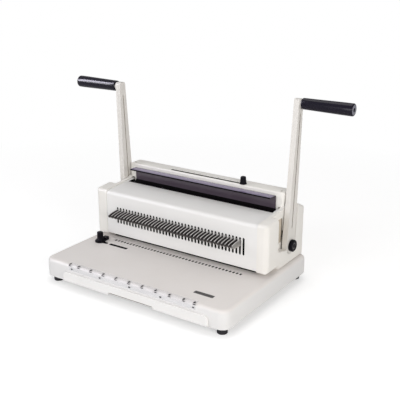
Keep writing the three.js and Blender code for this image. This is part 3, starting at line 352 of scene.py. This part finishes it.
def printed_spots(
    centres, across, along, half_width, half_length, power=2.0, thick=0.00008, sides=24,
):
    """Flat spots of ink with a superellipse outline: across x half_width x |cos t|^(2/power) and
    along x half_length x |sin t|^(2/power), each with its sign, closed above and below at the
    spot's middle."""
    turn = full_turn(sides)
    wide = np.sign(np.cos(turn)) * np.abs(np.cos(turn)) ** (2.0 / power) * half_width
    long = np.sign(np.sin(turn)) * np.abs(np.sin(turn)) ** (2.0 / power) * half_length
    up = np.cross(across, along)
    outline = wide[:, None] * across + long[:, None] * along
    share = np.array([0.0, 1.0, 1.0, 0.0])
    height = np.array([thick, thick, -thick, -thick]) / 2.0
    rows = share[:, None, None] * outline + height[:, None, None] * up
    return np.asarray(centres, float)[:, None, None] + rows


def in_row(across, along, height):
    """Points at these places along X, all at one Y and one Z."""
    return np.stack([across, np.full(len(across), along), np.full(len(across), height)], -1)


rightwards, backwards, upwards = np.eye(3)
tray_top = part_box("base_casing")[1].z
loop_count, loop_pitch, dot_row = 40, 0.008467, -0.006
loop_places = (np.arange(loop_count) - (loop_count - 1) / 2) * loop_pitch
patch_across, patch_row = 0.154, -0.124
black_ink = surface_finish(
    "black_ink", (0.003, 0.003, 0.004), (0.006, 0.006, 0.008),
    patch=300.0, grain=5000.0, relief=0.00002, dull=0.5, spread=0.15, specular=0.1,
)
grey_ink = surface_finish(
    "grey_ink", (0.06, 0.055, 0.055), (0.085, 0.08, 0.078),
    patch=300.0, grain=5000.0, relief=0.00002, dull=0.5, spread=0.15,
)
dots = printed_spots(
    in_row(loop_places, dot_row, tray_top), rightwards, backwards,
    half_width=0.0023, half_length=0.0037, power=4.0,
)
gridded("loop_dots", dots, black_ink, "machine")
patch = printed_spots(
    [(patch_across, patch_row, tray_top)], rightwards, backwards,
    half_width=0.0225, half_length=0.0052, power=12.0, sides=48,
)
gridded("dark_patch", patch, grey_ink, "machine")


# Slot shades. Black strips under the tray, behind the panel and under the rear cover are painted
# shade that darkens the slots, and a black band on the tray inside the paper throat is painted
# shade.
painted_shade_black = surface_finish(
    "painted_shade_black", (0.004, 0.004, 0.005), (0.008, 0.008, 0.009),
    patch=400.0, grain=3500.0, relief=0.0002, dull=0.9, spread=0.08, specular=0.1,
)
shade_sheet, square, guide_row, throat_row = 0.0006, 30.0, -0.032, 0.0220


def painted_shade_strip(piece, centre, along, half_width, half_length):
    """A strip of painted shade that runs to the right: a superellipse of high power, so a rectangle
    with small round corners, as thick as the sheet."""
    strip = printed_spots(
        [centre], rightwards, along, half_width, half_length,
        power=square, thick=shade_sheet, sides=64,
    )
    return gridded(piece, strip, painted_shade_black, "machine")


far_slot_across, tray_sheet = -0.1362, 0.0032
far_slot_middle = (far_slot_across, guide_row, tray_top - tray_sheet)
painted_shade_strip("tray_slot_painted_shade", far_slot_middle, backwards, half_width=0.0262, half_length=0.009)
panel_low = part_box("front_panel")[0]
behind_panel, slots_rise = 0.0030, 0.047
panel_slot_middle = (0.0, panel_low.y + behind_panel, panel_low.z + slots_rise)
painted_shade_strip("panel_slot_painted_shade", panel_slot_middle, upwards, half_width=0.176, half_length=0.0245)
throat_painted_shade = printed_spots(
    [(0.0, throat_row, tray_top)], rightwards, backwards,
    half_width=0.1894, half_length=0.0034, power=square, sides=64,
)
gridded("throat_painted_shade", throat_painted_shade, painted_shade_black, "machine")


# Slot liners. A thin black collar lines each slot of the tray and of the rear cover, with a narrow
# lip on top over the cut edge: painted shade that makes the slots' walls dark.
def slot_liner(piece, left, right, middle, top, half_width, wall, lip, depth):
    """A racetrack-shaped collar: its profile of (outward, up) points is carried round the slot's
    outline, which is the slot's half length less its half width along X, plus (half width +
    outward) x (cos turn, sin turn)."""
    lip_top, lip_seat, clearance, sides = 0.00016, 0.00001, 0.00003, 32
    profile = np.array([
        (-wall, -depth), (-wall, lip_top), (lip, lip_top),
        (lip, lip_seat), (-clearance, lip_seat), (-clearance, -depth),
    ])
    turn = full_turn(sides) + np.pi / sides
    centre = (left + right) / 2 + np.sign(np.cos(turn)) * ((right - left) / 2 - half_width)
    reach = half_width + profile[:, :1]
    across = centre + reach * np.cos(turn)
    along = middle + reach * np.sin(turn)
    up = np.repeat(top + profile[:, 1:], sides, 1)
    rows = np.stack([across, along, up], -1)[None]
    return gridded(piece, rows, painted_shade_liner, "machine", round_rows=True)


painted_shade_liner = surface_finish(
    "painted_shade_liner", (0.006, 0.006, 0.007), (0.010, 0.010, 0.011),
    patch=80.0, grain=1500.0, relief=0.00003, dull=0.6, spread=0.15, specular=0.15,
)
for place, left, right in (("near", -0.200, -0.169), ("far", -0.162, -0.1127)):
    slot_liner(
        place + "_slot_liner", left, right, guide_row, tray_top,
        half_width=0.0030, wall=0.0003, lip=0.0009, depth=0.0028,
    )
raised_top, selector_slot_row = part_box("rear_cover")[1].z, 0.105
slot_liner(
    "selector_slot_liner", -0.089, 0.104, selector_slot_row, raised_top,
    half_width=0.0021, wall=0.0002, lip=0.0006, depth=0.0022,
)


# Chip drawer. An ivory moulding that slides in under the tray; its front stands proud of the base
# and has a finger recess in its lower edge.
drawer_ivory = surface_finish(
    "drawer_ivory", (0.87, 0.86, 0.85), (0.85, 0.835, 0.82),
    patch=9.0, grain=1500.0, relief=0.00006, dull=0.42, spread=0.12,
)
dressed("chip_drawer", "drawer_moulding", drawer_ivory, edge=0.0006)


# Feet. Black rubber studs, one near each corner of the base, each held by a cross-head screw
# that sits deep in its hollow.
foot_rubber = surface_finish(
    "foot_rubber", (0.012, 0.011, 0.014), (0.02, 0.019, 0.023),
    patch=60.0, grain=2200.0, relief=0.00012, dull=0.62, spread=0.2,
)
zinc_plate = surface_finish(
    "zinc_plate", (0.44, 0.42, 0.38), (0.33, 0.31, 0.28),
    patch=40.0, grain=900.0, relief=0.00005, dull=0.3, spread=0.2, metal=1.0,
)


def cross_screws(places, axis, radius, dome=0.0011):
    """Pan heads. At radius r from 0 to 1 the head stands dome x (1.15 - r^4) high, less 0.8 x dome
    where the point lies in either bar of a cross, and its side goes straight down to just below
    the seat."""
    rim, sunk, bar_half, bar_reach, slope = 1.15, 0.8, 0.15, 0.58, 0.06
    below, sides, rings = 0.0002, 48, 17
    axis = Vector(axis).normalized()
    across = axis.orthogonal().normalized()
    third = np.array(axis.cross(across))
    axis, across = np.array(axis), np.array(across)
    turn = full_turn(sides)
    share = np.linspace(0.0, 1.0, rings)[:, None]
    wide, long = np.abs(share * np.cos(turn)), np.abs(share * np.sin(turn))
    bar = np.clip((bar_half - np.minimum(wide, long)) / slope + 0.5, 0.0, 1.0)
    reach = np.clip((bar_reach - np.maximum(wide, long)) / slope + 0.5, 0.0, 1.0)
    height = dome * (rim - share ** 4) - sunk * dome * bar * reach
    skirt = np.full((1, sides), -below)
    height = np.concatenate([height, skirt, skirt])
    spread = radius * np.concatenate([share, [[1.0], [0.0]]])
    ring = np.cos(turn)[:, None] * across + np.sin(turn)[:, None] * third
    head = height[..., None] * axis + spread[..., None] * ring
    return np.asarray(places, float)[:, None, None] + head


def screwed(piece, places, axis, radius, **shape):
    """Zinc plated screws of the machine at these places, with their heads along the axis."""
    heads = cross_screws(places, axis, radius, **shape)
    return gridded(piece, heads, zinc_plate, "machine")


def middle_of(node):
    """The centre of a CAD node's box."""
    low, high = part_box(node)
    return (np.array(low) + np.array(high)) / 2


foot_places, foot_hollow = [], 0.0045
for corner in ("front_left", "front_right", "rear_left", "rear_right"):
    foot = "foot_" + corner
    dressed(foot, "rubber_" + foot, foot_rubber, edge=0.0004)
    foot_places.append((*middle_of(foot)[:2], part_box(foot)[1].z - foot_hollow))
screwed("foot_screws", foot_places, (0, 0, -1), radius=0.0032)


# Gauge strip. A clear plastic strip folded over the front edge of the tray, with a printed mark
# for each paper size on top and a row of dots on the front.
clear_film = surface_finish(
    "clear_film", (0.90, 0.90, 0.93), (0.86, 0.86, 0.90),
    patch=12.0, grain=500.0, relief=0.00004, dull=0.3, spread=0.1,
)
clear_film.node_tree.nodes["Principled BSDF"].inputs["Alpha"].default_value = 0.18
dressed("gauge_strip", "gauge_film", clear_film, edge=0.0003)
strip_low, strip_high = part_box("gauge_strip")
first_mark, last_mark, mark_count, mark_pitch, mark_shift = -0.1575, 0.1595, 9, 0.0335, 0.0005
inner_marks = mark_pitch * (np.arange(mark_count) - (mark_count - 1) / 2) + mark_shift
mark_places = np.concatenate([[first_mark], inner_marks, [last_mark]])
tick_inset, corner_shift, corner_drop, dot_drop = 0.0042, 0.0018, 0.0022, 0.0091
ticks = printed_spots(
    in_row(mark_places, strip_low.y + tick_inset, strip_high.z), rightwards, backwards,
    half_width=0.0019, half_length=0.0038, power=4.0,
)
corners = printed_spots(
    in_row(mark_places + corner_shift, strip_low.y, strip_high.z - corner_drop),
    rightwards, upwards,
    half_width=0.0034, half_length=0.0009, power=4.0,
)
gridded("gauge_marks", np.concatenate([ticks, corners]), black_ink, "machine")
dot_count, dot_pitch, dot_shift = 5, 0.0774, 0.0040
dot_places = dot_pitch * (np.arange(dot_count) - (dot_count - 1) / 2) + dot_shift
front_dots = printed_spots(
    in_row(dot_places, strip_low.y, strip_high.z - dot_drop), rightwards, upwards,
    half_width=0.0024, half_length=0.0016,
)
gridded("gauge_dots", front_dots, black_ink, "machine")


# Steel inside. Zinc plated plates, bars and cranks, two frame plates painted tan as painted shade,
# and four bronze bushes. The covers hide them but for the notches of the levers and the gap of the
# closer.
for node in (
    "base_plate", "drawer_runner_left", "drawer_runner_right", "tie_bar_low", "tie_bar_high",
    "punch_guide", "punch_beam", "punch_yoke_left", "punch_yoke_right",
    "closer_carrier_left", "closer_carrier_right", "punch_shaft", "closer_shaft",
    "punch_crank_left", "punch_crank_right", "closer_crank_left", "closer_crank_right",
    "selector_plate", "edge_guide_nut", "punch_pins",
):
    dressed(node, node + "_plated", zinc_plate, edge=0.0003)
plate_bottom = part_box("base_plate")[0].z
plate_away, plate_row, plate_end = 0.1, 0.152, 0.219
plate_places = [
    (side * plate_away, end * plate_row, plate_bottom)
    for side in (-1.0, 1.0) for end in (-1.0, 1.0)
] + [(side * plate_end, 0.0, plate_bottom) for side in (-1.0, 1.0)]
screwed("plate_screws", plate_places, (0, 0, -1), radius=0.0034)

# Painted shade: a tan like ivory in shade, for the frame plates.
frame_painted_shade = surface_finish(
    "frame_painted_shade", (0.40, 0.33, 0.26), (0.36, 0.29, 0.22),
    patch=8.0, grain=1000.0, relief=0.00006, dull=0.5, spread=0.15,
)
for node in ("frame_plate_left", "frame_plate_right"):
    dressed(node, node + "_painted", frame_painted_shade, edge=0.0003)

sintered_bronze = surface_finish(
    "sintered_bronze", (0.42, 0.27, 0.12), (0.34, 0.21, 0.1),
    patch=60.0, grain=3000.0, relief=0.00006, dull=0.35, spread=0.2, metal=1.0,
)
for node in ("punch_bush_left", "punch_bush_right", "closer_bush_left", "closer_bush_right"):
    dressed(node, node + "_sintered", sintered_bronze, edge=0.0003)


# Die. A tool-steel plate under the punches, and the stop strip that the sheets rest against, both
# near black: painted shade that darkens the paper throat.
tool_steel_painted_shade = surface_finish(
    "tool_steel_painted_shade", (0.010, 0.010, 0.011), (0.016, 0.015, 0.016),
    patch=30.0, grain=1200.0, relief=0.00004, dull=0.5, spread=0.2,
)
dressed("die_plate", "die_plate_painted_shade", tool_steel_painted_shade, edge=0.0003)
dressed("paper_stop", "paper_stop_painted_shade", tool_steel_painted_shade, edge=0.0002)


# Front panel. One sheet of steel, slotted, folded back at the top into a deck and painted in a
# smoother ivory than the mouldings.
panel_ivory = surface_finish(
    "panel_ivory", (0.80, 0.793, 0.785), (0.78, 0.768, 0.752),
    patch=6.0, grain=1100.0, relief=0.00005, dull=0.46, spread=0.12,
)
dressed("front_panel", "panel_sheet", panel_ivory, edge=0.0004)


# Comb. Steel fins that stand out through the slots and hold the open wire. Their sides are painted
# dark as shade between the fins and paler along the lower edge as painted light, a smooth step of
# the height Z; the upper edges carry a painted highlight, and the last fin is painted lighter.
comb_painted_light_steel = surface_finish(
    "comb_painted_light_steel", (0.030, 0.026, 0.026), (0.045, 0.040, 0.040),
    patch=90.0, grain=1500.0, relief=0.00004, dull=0.35, spread=0.2, stretch=(1.0, 0.15, 1.0),
)
comb_middle = middle_of("wire_comb")[2]
painted_light_above, painted_light_below = 0.0005, 0.0065
comb_place = parted(comb_painted_light_steel, "ShaderNodeTexCoord", "Object")
comb_facing = parted(comb_painted_light_steel, "ShaderNodeNewGeometry", "Normal")
# Painted light: the pale lower edge, the lighter last fin, and a highlight where the normal points
# up.
for value, low, high, tone in (
    (
        comb_place["Z"], comb_middle + painted_light_above, comb_middle - painted_light_below,
        (0.24, 0.215, 0.205),
    ),
    (comb_place["X"], 0.1575, 0.1578, (0.45, 0.44, 0.42)),
    (comb_facing["Z"], 0.5, 0.8, (0.52, 0.50, 0.49)),
):
    toned(comb_painted_light_steel, value, low, high, tone, easing="SMOOTHSTEP")
dressed("wire_comb", "comb_fins", comb_painted_light_steel, edge=0.0003)


# Covers. Ivory mouldings: one at each end with a notch for its lever, and one along the back with
# the raised top. Four cross-head screws hold the rear one, and a pale scale is printed along its
# selector slot.
cover_ivory = surface_finish(
    "cover_ivory", (0.82, 0.80, 0.765), (0.795, 0.77, 0.73),
    patch=6.0, grain=1500.0, relief=0.00006, dull=0.42, spread=0.12,
)
dressed("side_cover_right", "right_cover_moulding", cover_ivory, edge=0.0006)
dressed("side_cover_left", "left_cover_moulding", cover_ivory, edge=0.0006)
dressed("rear_cover", "rear_cover_moulding", cover_ivory, edge=0.0006)
rear_low, rear_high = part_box("rear_cover")
top_away, top_row, back_away, back_rise = 0.1928, 0.107, 0.186, 0.0192
top_places = [(side * top_away, top_row, rear_high.z) for side in (-1.0, 1.0)]
screwed("top_screws", top_places, (0, 0, 1), radius=0.0024, dome=0.0008)
back_height = rear_low.z + back_rise
back_places = [(side * back_away, rear_high.y, back_height) for side in (-1.0, 1.0)]
screwed("back_screws", back_places, (0, 1, 0), radius=0.0032)
pale_ink = surface_finish(
    "pale_ink", (0.36, 0.35, 0.34), (0.42, 0.41, 0.40),
    patch=300.0, grain=5000.0, relief=0.00002, dull=0.5, spread=0.15,
)
selector_row = middle_of("selector_knob")[1]
scale_start, scale_end, scale_count, scale_offset = -0.080, 0.098, 12, 0.0075
scale_places = np.linspace(scale_start, scale_end, scale_count)
scale = printed_spots(
    in_row(scale_places, selector_row + scale_offset, rear_high.z), rightwards, backwards,
    half_width=0.0006, half_length=0.0026, power=8.0,
)
gridded("selector_scale", scale, pale_ink, "machine")
# Painted shade: a black strip under the selector slot darkens it.
selector_slot_across, shade_drop = 0.006, 0.0068
selector_slot_middle = (selector_slot_across, selector_row, rear_high.z - shade_drop)
painted_shade_strip(
    "selector_slot_painted_shade", selector_slot_middle, backwards, half_width=0.103, half_length=0.0042,
)


# Return springs. A torsion spring of steel wire lies round each hub between the lever and the
# cover, and its free leg bears on the edge of the window in the cover.
def carried(path, outline):
    """An outline of (outward, sideways) points carried along a path: each point is the path's
    point + outward x its first value + sideways x its second. Sideways is the machine's left to
    right as far as the path allows, outward is the path's direction crossed with it, and both
    ends close on their middles."""
    heading = np.gradient(path, axis=0)
    heading /= np.linalg.norm(heading, axis=1, keepdims=True)
    outward = np.cross(heading, rightwards)
    outward /= np.linalg.norm(outward, axis=1, keepdims=True)
    sideways = np.cross(outward, heading)
    raised, shifted = outline[:, :1], outline[:, 1:]
    rows = path[:, None] + raised * outward[:, None] + shifted * sideways[:, None]
    ends = [np.repeat(path[end][None, None], len(outline), 1) for end in (0, -1)]
    return np.concatenate([ends[0], rows, ends[1]])[None]


spring_steel = surface_finish(
    "spring_steel", (0.30, 0.29, 0.28), (0.2, 0.19, 0.18),
    patch=120.0, grain=2500.0, relief=0.00003, dull=0.25, spread=0.2, metal=1.0,
)
drives = (("punch", 1.0), ("closer", -1.0))
wire_radius, coil_radius, coil_turns, coil_pitch = 0.0007, 0.0115, 2.0, 0.0016
coil_points, leg_length, leg_foot, leg_points, wire_sides = 73, 0.026, 0.0008, 12, 10
wire_turn = full_turn(wire_sides)
wire_round = wire_radius * np.stack([np.cos(wire_turn), np.sin(wire_turn)], -1)


def spring_path(hub, side, away):
    """A straight leg that comes down on the coil, then the coil. At the share w of its length the
    coil is at hub + radius x (cos a, sin a) in Y and Z, with a = pi x (1 - 2 x turns x w), and has
    moved out along X by pitch x turns x w."""
    wound = np.linspace(0.0, 1.0, coil_points)[:, None]
    angle = np.pi * (1.0 - 2.0 * coil_turns * wound)
    across = side * (away + wire_radius + coil_pitch * coil_turns * wound)
    along, up = hub[0] + coil_radius * np.cos(angle), hub[1] + coil_radius * np.sin(angle)
    coil = np.concatenate([across, along, up], 1)
    leg = np.repeat(coil[:1], leg_points, 0)
    leg[:, 2] += np.linspace(leg_length, leg_foot, leg_points)
    return np.concatenate([leg, coil])


coils_away = (0.20555, 0.20535)
for (word, side), away in zip(drives, coils_away):
    spring = carried(spring_path(middle_of(word + "_shaft")[1:], side, away), wire_round)
    gridded(word + "_return_spring", spring, spring_steel, "machine")


# Retaining rings. A flat open ring of spring steel snaps into a groove near the far end of each
# cross shaft and turns with it.
ring_away, ring_radius, ring_points = 0.2010, 0.0092, 60
ring_half, ring_sheet_half, ring_gap = 0.0018, 0.0005, 0.35
ring_section = np.array([
    (-ring_half, -ring_sheet_half), (ring_half, -ring_sheet_half),
    (ring_half, ring_sheet_half), (-ring_half, ring_sheet_half),
])


def ring_path(hub, across):
    """A circle that is open at the top: hub + radius x (sin a, cos a) in Y and Z, with a from the
    gap's one edge round to the other."""
    angle = np.linspace(ring_gap, 2.0 * np.pi - ring_gap, ring_points)
    along, up = hub[0] + ring_radius * np.sin(angle), hub[1] + ring_radius * np.cos(angle)
    return np.stack([np.full(ring_points, across), along, up], -1)


for word, side in drives:
    ring = carried(ring_path(middle_of(word + "_shaft")[1:], -side * ring_away), ring_section)
    gridded(word + "_retaining_ring", ring, spring_steel, word + "_drive")


# Closer. A black painted angle of steel, with two black strips of painted shade, comes down on a
# matt black bed. Its paint is blackest on the rounded edges, a painted shade where the normal's Z
# lies between upright and level, and paler and more violet on the level flange, a painted
# reflection.
bar_black = surface_finish(
    "bar_black", (0.072, 0.055, 0.074), (0.084, 0.067, 0.086),
    patch=14.0, grain=900.0, relief=0.00001, dull=0.12, spread=0.05,
)
bar_upward = parted(bar_black, "ShaderNodeNewGeometry", "Normal")["Z"]
# Painted shade on the rounded edges, then a painted reflection on the level flange.
toned(bar_black, bar_upward, low=0.1, high=0.3, tone=(0.004, 0.003, 0.006))
toned(bar_black, bar_upward, low=0.93, high=0.99, tone=(0.165, 0.128, 0.240))
bed_and_shade_black = surface_finish(
    "bed_and_shade_black", (0.002, 0.002, 0.002), (0.004, 0.003, 0.004),
    patch=40.0, grain=1600.0, relief=0.00008, dull=0.7, spread=0.15, specular=0.06,
)
dressed("closer_bar", "closer_angle", bar_black, edge=0.0012)
dressed("closer_bed", "closer_rest", bed_and_shade_black, edge=0.0004)
bar_low, bar_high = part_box("closer_bar")
web_shade_inset, web_shade_rise, edge_drop = 0.00205, 0.0077, 0.0010
# Painted shade: a black strip low on the web and one on the flange's front edge.
web_shade = printed_spots(
    [(0.0, bar_high.y - web_shade_inset, bar_low.z + web_shade_rise)], rightwards, upwards,
    half_width=0.1850, half_length=0.0073, power=square, thick=0.0002, sides=64,
)
gridded("closer_web_painted_shade", web_shade, bed_and_shade_black, "closer_slide")
edge_shade = printed_spots(
    [(0.0, bar_low.y, bar_high.z - edge_drop)], rightwards, upwards,
    half_width=0.1840, half_length=0.0014, power=square, thick=0.0004, sides=64,
)
gridded("closer_edge_painted_shade", edge_shade, bed_and_shade_black, "closer_slide")


# Window cards. A tan sheet stands behind the window in each lever's channel, in front of the
# shafts: painted shade, coloured as ivory in shade.
window_painted_shade = surface_finish(
    "window_painted_shade", (0.60, 0.53, 0.44), (0.54, 0.47, 0.38),
    patch=60.0, grain=2500.0, relief=0.00008, dull=0.8, spread=0.1,
)
card_away, card_row, card_half, card_foot, card_head = 0.2025, 0.0756, 0.0164, 0.0065, 0.0625
window_lifts = (0.0, 0.025)
for (word, side), lift in zip(drives, window_lifts):
    pivot_z = middle_of(word + "_shaft")[2] - lift
    low, high = pivot_z + card_foot + lift, pivot_z + card_head
    card = printed_spots(
        [(side * card_away, card_row, (low + high) / 2)], backwards, upwards,
        half_width=card_half, half_length=(high - low) / 2, power=square, thick=0.0004, sides=48,
    )
    gridded(word + "_window_shade", card, window_painted_shade, "machine")


# Knobs and pivot caps. Mouldings in one black plastic: the selector knob, the edge guide with its
# clamp knob, and the cap on each lever's pivot.
knob_black = surface_finish(
    "knob_black", (0.004, 0.004, 0.006), (0.008, 0.007, 0.011),
    patch=50.0, grain=1500.0, relief=0.00005, dull=0.3, spread=0.14, specular=0.08,
)
for node in (
    "selector_knob", "edge_guide", "edge_guide_knob", "punch_pivot_cap", "closer_pivot_cap",
):
    dressed(node, node + "_moulding", knob_black, edge=0.0004)


# Levers. Flat tapered arms, cast and painted ivory, which lean inwards by 10 mm in 305.5 mm. Strips
# of painted shade line the shallow groove on each side, one on its floor and one on each wall, and
# a plug covers the end of the grip's bolt.
lever_ivory = surface_finish(
    "lever_ivory", (0.73, 0.705, 0.673), (0.705, 0.68, 0.643),
    patch=9.0, grain=1100.0, relief=0.00006, dull=0.44, spread=0.12,
)
dressed("punch_lever", "right_arm", lever_ivory, edge=0.0005)
dressed("closer_lever", "left_arm", lever_ivory, edge=0.0005)
# Painted shade: brown and beige strips that darken the grooves.
groove_shade_brown = surface_finish(
    "groove_shade_brown", (0.20, 0.14, 0.10), (0.16, 0.11, 0.08),
    patch=40.0, grain=1500.0, relief=0.00003, dull=0.5, spread=0.15,
)
groove_shade_beige = surface_finish(
    "groove_shade_beige", (0.50, 0.46, 0.40), (0.46, 0.42, 0.36),
    patch=40.0, grain=1500.0, relief=0.00003, dull=0.5, spread=0.15,
)


def on_middle(node):
    """The point of the machine's middle plane that is level with a node's centre."""
    return np.array([0.0, *middle_of(node)[1:]])


def groove_shade_strip(centre, across, along, half_width, half_length):
    """A thin straight strip of painted shade with its corners square."""
    return printed_spots(
        [centre], across, along, half_width, half_length, power=square, thick=0.0002, sides=32,
    )


arm_slope, arm_thick, arm_top = 10.0 / 305.5, 0.012, 0.0095
groove_start, groove_end, groove_floor, groove_half = 0.0374, 0.0220, 0.0023, 0.00105
wall_rise, wall_half, plug_radius, plug_rise = 0.00112, 0.00095, 0.0036, 0.0009
for word, side in drives:
    lever_low, lever_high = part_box(word + "_lever")
    pivot = on_middle(word + "_shaft")
    reach = on_middle(word + "_grip_bolt") - pivot
    length = np.linalg.norm(reach)
    up = reach / length
    forward = np.array([0.0, up[2], -up[1]])
    along = up - side * arm_slope * rightwards
    inner_foot = min(abs(lever_low.x), abs(lever_high.x))
    outer = inner_foot + arm_thick + arm_slope * (length + arm_top)
    half = (length - groove_start - groove_end) / 2
    middle = pivot + along * (groove_start + half)
    for place, floor, inward, finish in (
        ("outer", outer - groove_floor, 1.0, groove_shade_brown),
        ("inner", outer - arm_thick + groove_floor, -1.0, groove_shade_beige),
    ):
        at = middle + np.array([side * floor, 0.0, 0.0])
        strips = [groove_shade_strip(at, forward, along, groove_half, half)]
        for edge in (-1.0, 1.0):
            lifted = np.array([side * inward * wall_rise, 0.0, 0.0])
            wall = at + edge * forward * groove_half + lifted
            strips.append(groove_shade_strip(wall, rightwards, along, wall_half, half))
        groove_shades = np.concatenate(strips)
        gridded(word + "_groove_shade_" + place, groove_shades, finish, word + "_drive")
    plug_away = outer - arm_thick - arm_slope * length + plug_rise
    plug = printed_spots(
        [pivot + reach + np.array([side * plug_away, 0.0, 0.0])], forward, up,
        half_width=plug_radius, half_length=plug_radius, thick=0.0016,
    )
    gridded(word + "_bolt_plug", plug, lever_ivory, word + "_drive")


# Grips. Black plastic tubes that turn on a long bolt; each has soft shoulders, a grey washer on
# its outer end, and two fine lines along it where the halves of the mould met.
def eased(corners, edge, steps=6):
    """A profile whose inner corners are replaced by curves that start and end `edge` away from
    them: (1 - t)^2 x start + 2 t (1 - t) x corner + t^2 x end."""
    corners = np.asarray(corners, float)
    before, corner, after = corners[:-2], corners[1:-1], corners[2:]

    def towards(other):
        """The point `edge` away from each corner on the way to its neighbour, or half way if that
        is nearer."""
        length = np.linalg.norm(other - corner, axis=1, keepdims=True)
        return corner + (other - corner) * np.minimum(edge / length, 0.5)

    start, end = towards(before)[:, None], towards(after)[:, None]
    share = np.linspace(0.0, 1.0, steps)[None, :, None]
    bend = 2 * share * (1 - share) * corner[:, None]
    curve = (1 - share) ** 2 * start + bend + share ** 2 * end
    return np.concatenate([corners[:1], curve.reshape(-1, 2), corners[-1:]])


def turned(profile, centre, side, ridge=0.0):
    """A profile of (radius, reach) pairs carried round a line through `centre` that runs to the
    side. Each point is centre + side x reach + radius x (cos turn, sin turn), and the two mould
    lines stand `ridge` proud."""
    sides = 72
    radius, reach = np.asarray(profile, float).T
    turn = full_turn(sides)
    proud = np.zeros(sides)
    proud[[sides // 5, sides * 7 // 10]] = ridge
    spread = radius[:, None] + proud * (radius > 0.5 * radius.max())[:, None]
    across = np.repeat((side * reach)[:, None], sides, 1)
    ring = np.stack([across, spread * np.cos(turn), spread * np.sin(turn)], -1)
    return (centre + ring)[None]


grip_black = surface_finish(
    "grip_black", (0.004, 0.003, 0.010), (0.007, 0.005, 0.014),
    patch=10.0, grain=1300.0, relief=0.000004, dull=0.18, spread=0.02, specular=0.27,
)
washer_grey = surface_finish(
    "washer_grey", (0.22, 0.22, 0.26), (0.18, 0.18, 0.22),
    patch=60.0, grain=1500.0, relief=0.00003, dull=0.35, spread=0.15,
)
bore, mouth, shoulder, taper = 0.0037, 0.0040, 0.0026, 0.02
foot_slimmer, neck_slimmer, mould_line = 0.0012, 0.0010, 0.0001
washer_bore, washer_flat, washer_sheet = 0.0042, 0.0032, 0.0002
for word, side in drives:
    grip_low, grip_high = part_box(word + "_grip")
    start, end = sorted((abs(grip_low.x), abs(grip_high.x)))
    full = (grip_high.z - grip_low.z) / 2
    centre = on_middle(word + "_grip")
    profile = eased(
        [
            (bore, start), (full - foot_slimmer, start), (full - neck_slimmer, start + taper),
            (full, end - taper), (full, end), (mouth, end), (bore, start),
        ],
        shoulder,
    )
    grip = turned(profile, centre, side, ridge=mould_line)
    shell = gridded(word + "_grip_shell", grip, grip_black, word + "_drive")
    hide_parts(word + "_grip")
    rim = full - shoulder
    section = np.array([
        (washer_bore, 0.0), (washer_bore, washer_sheet), (full - washer_flat, washer_sheet),
        (rim, 0.0), (rim, -washer_sheet), (washer_bore, -washer_sheet),
    ])
    washer = turned(section + (0.0, end), centre, side)
    gridded(
        word + "_grip_washer", washer, washer_grey, word + "_drive",
        round_rows=True,
    )
    dressed(word + "_grip_bolt", word + "_grip_bolt_plated", zinc_plate, edge=0.0003)


# Cap rings. A grey ring lies in the dish of each pivot cap, round the boss in its middle, and turns
# with the lever: a painted highlight on the dish.
cap_highlight_grey = surface_finish(
    "cap_highlight_grey", (0.115, 0.105, 0.11), (0.09, 0.082, 0.088),
    patch=60.0, grain=1500.0, relief=0.00003, dull=0.4, spread=0.15,
)
dish_depth, cap_bore, cap_rim, cap_seat, cap_sheet = 0.0016, 0.0042, 0.0073, 0.0001, 0.0005
cap_section = np.array([
    (cap_bore, cap_seat), (cap_bore, cap_sheet), (cap_rim, cap_sheet), (cap_rim, cap_seat),
])
for word, side in drives:
    cap_low, cap_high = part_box(word + "_pivot_cap")
    cap_face = max(abs(cap_low.x), abs(cap_high.x))
    section = cap_section + (0.0, cap_face - dish_depth)
    ring = turned(section, on_middle(word + "_pivot_cap"), side)
    gridded(
        word + "_cap_highlight_ring", ring, cap_highlight_grey, word + "_drive", round_rows=True,
    )
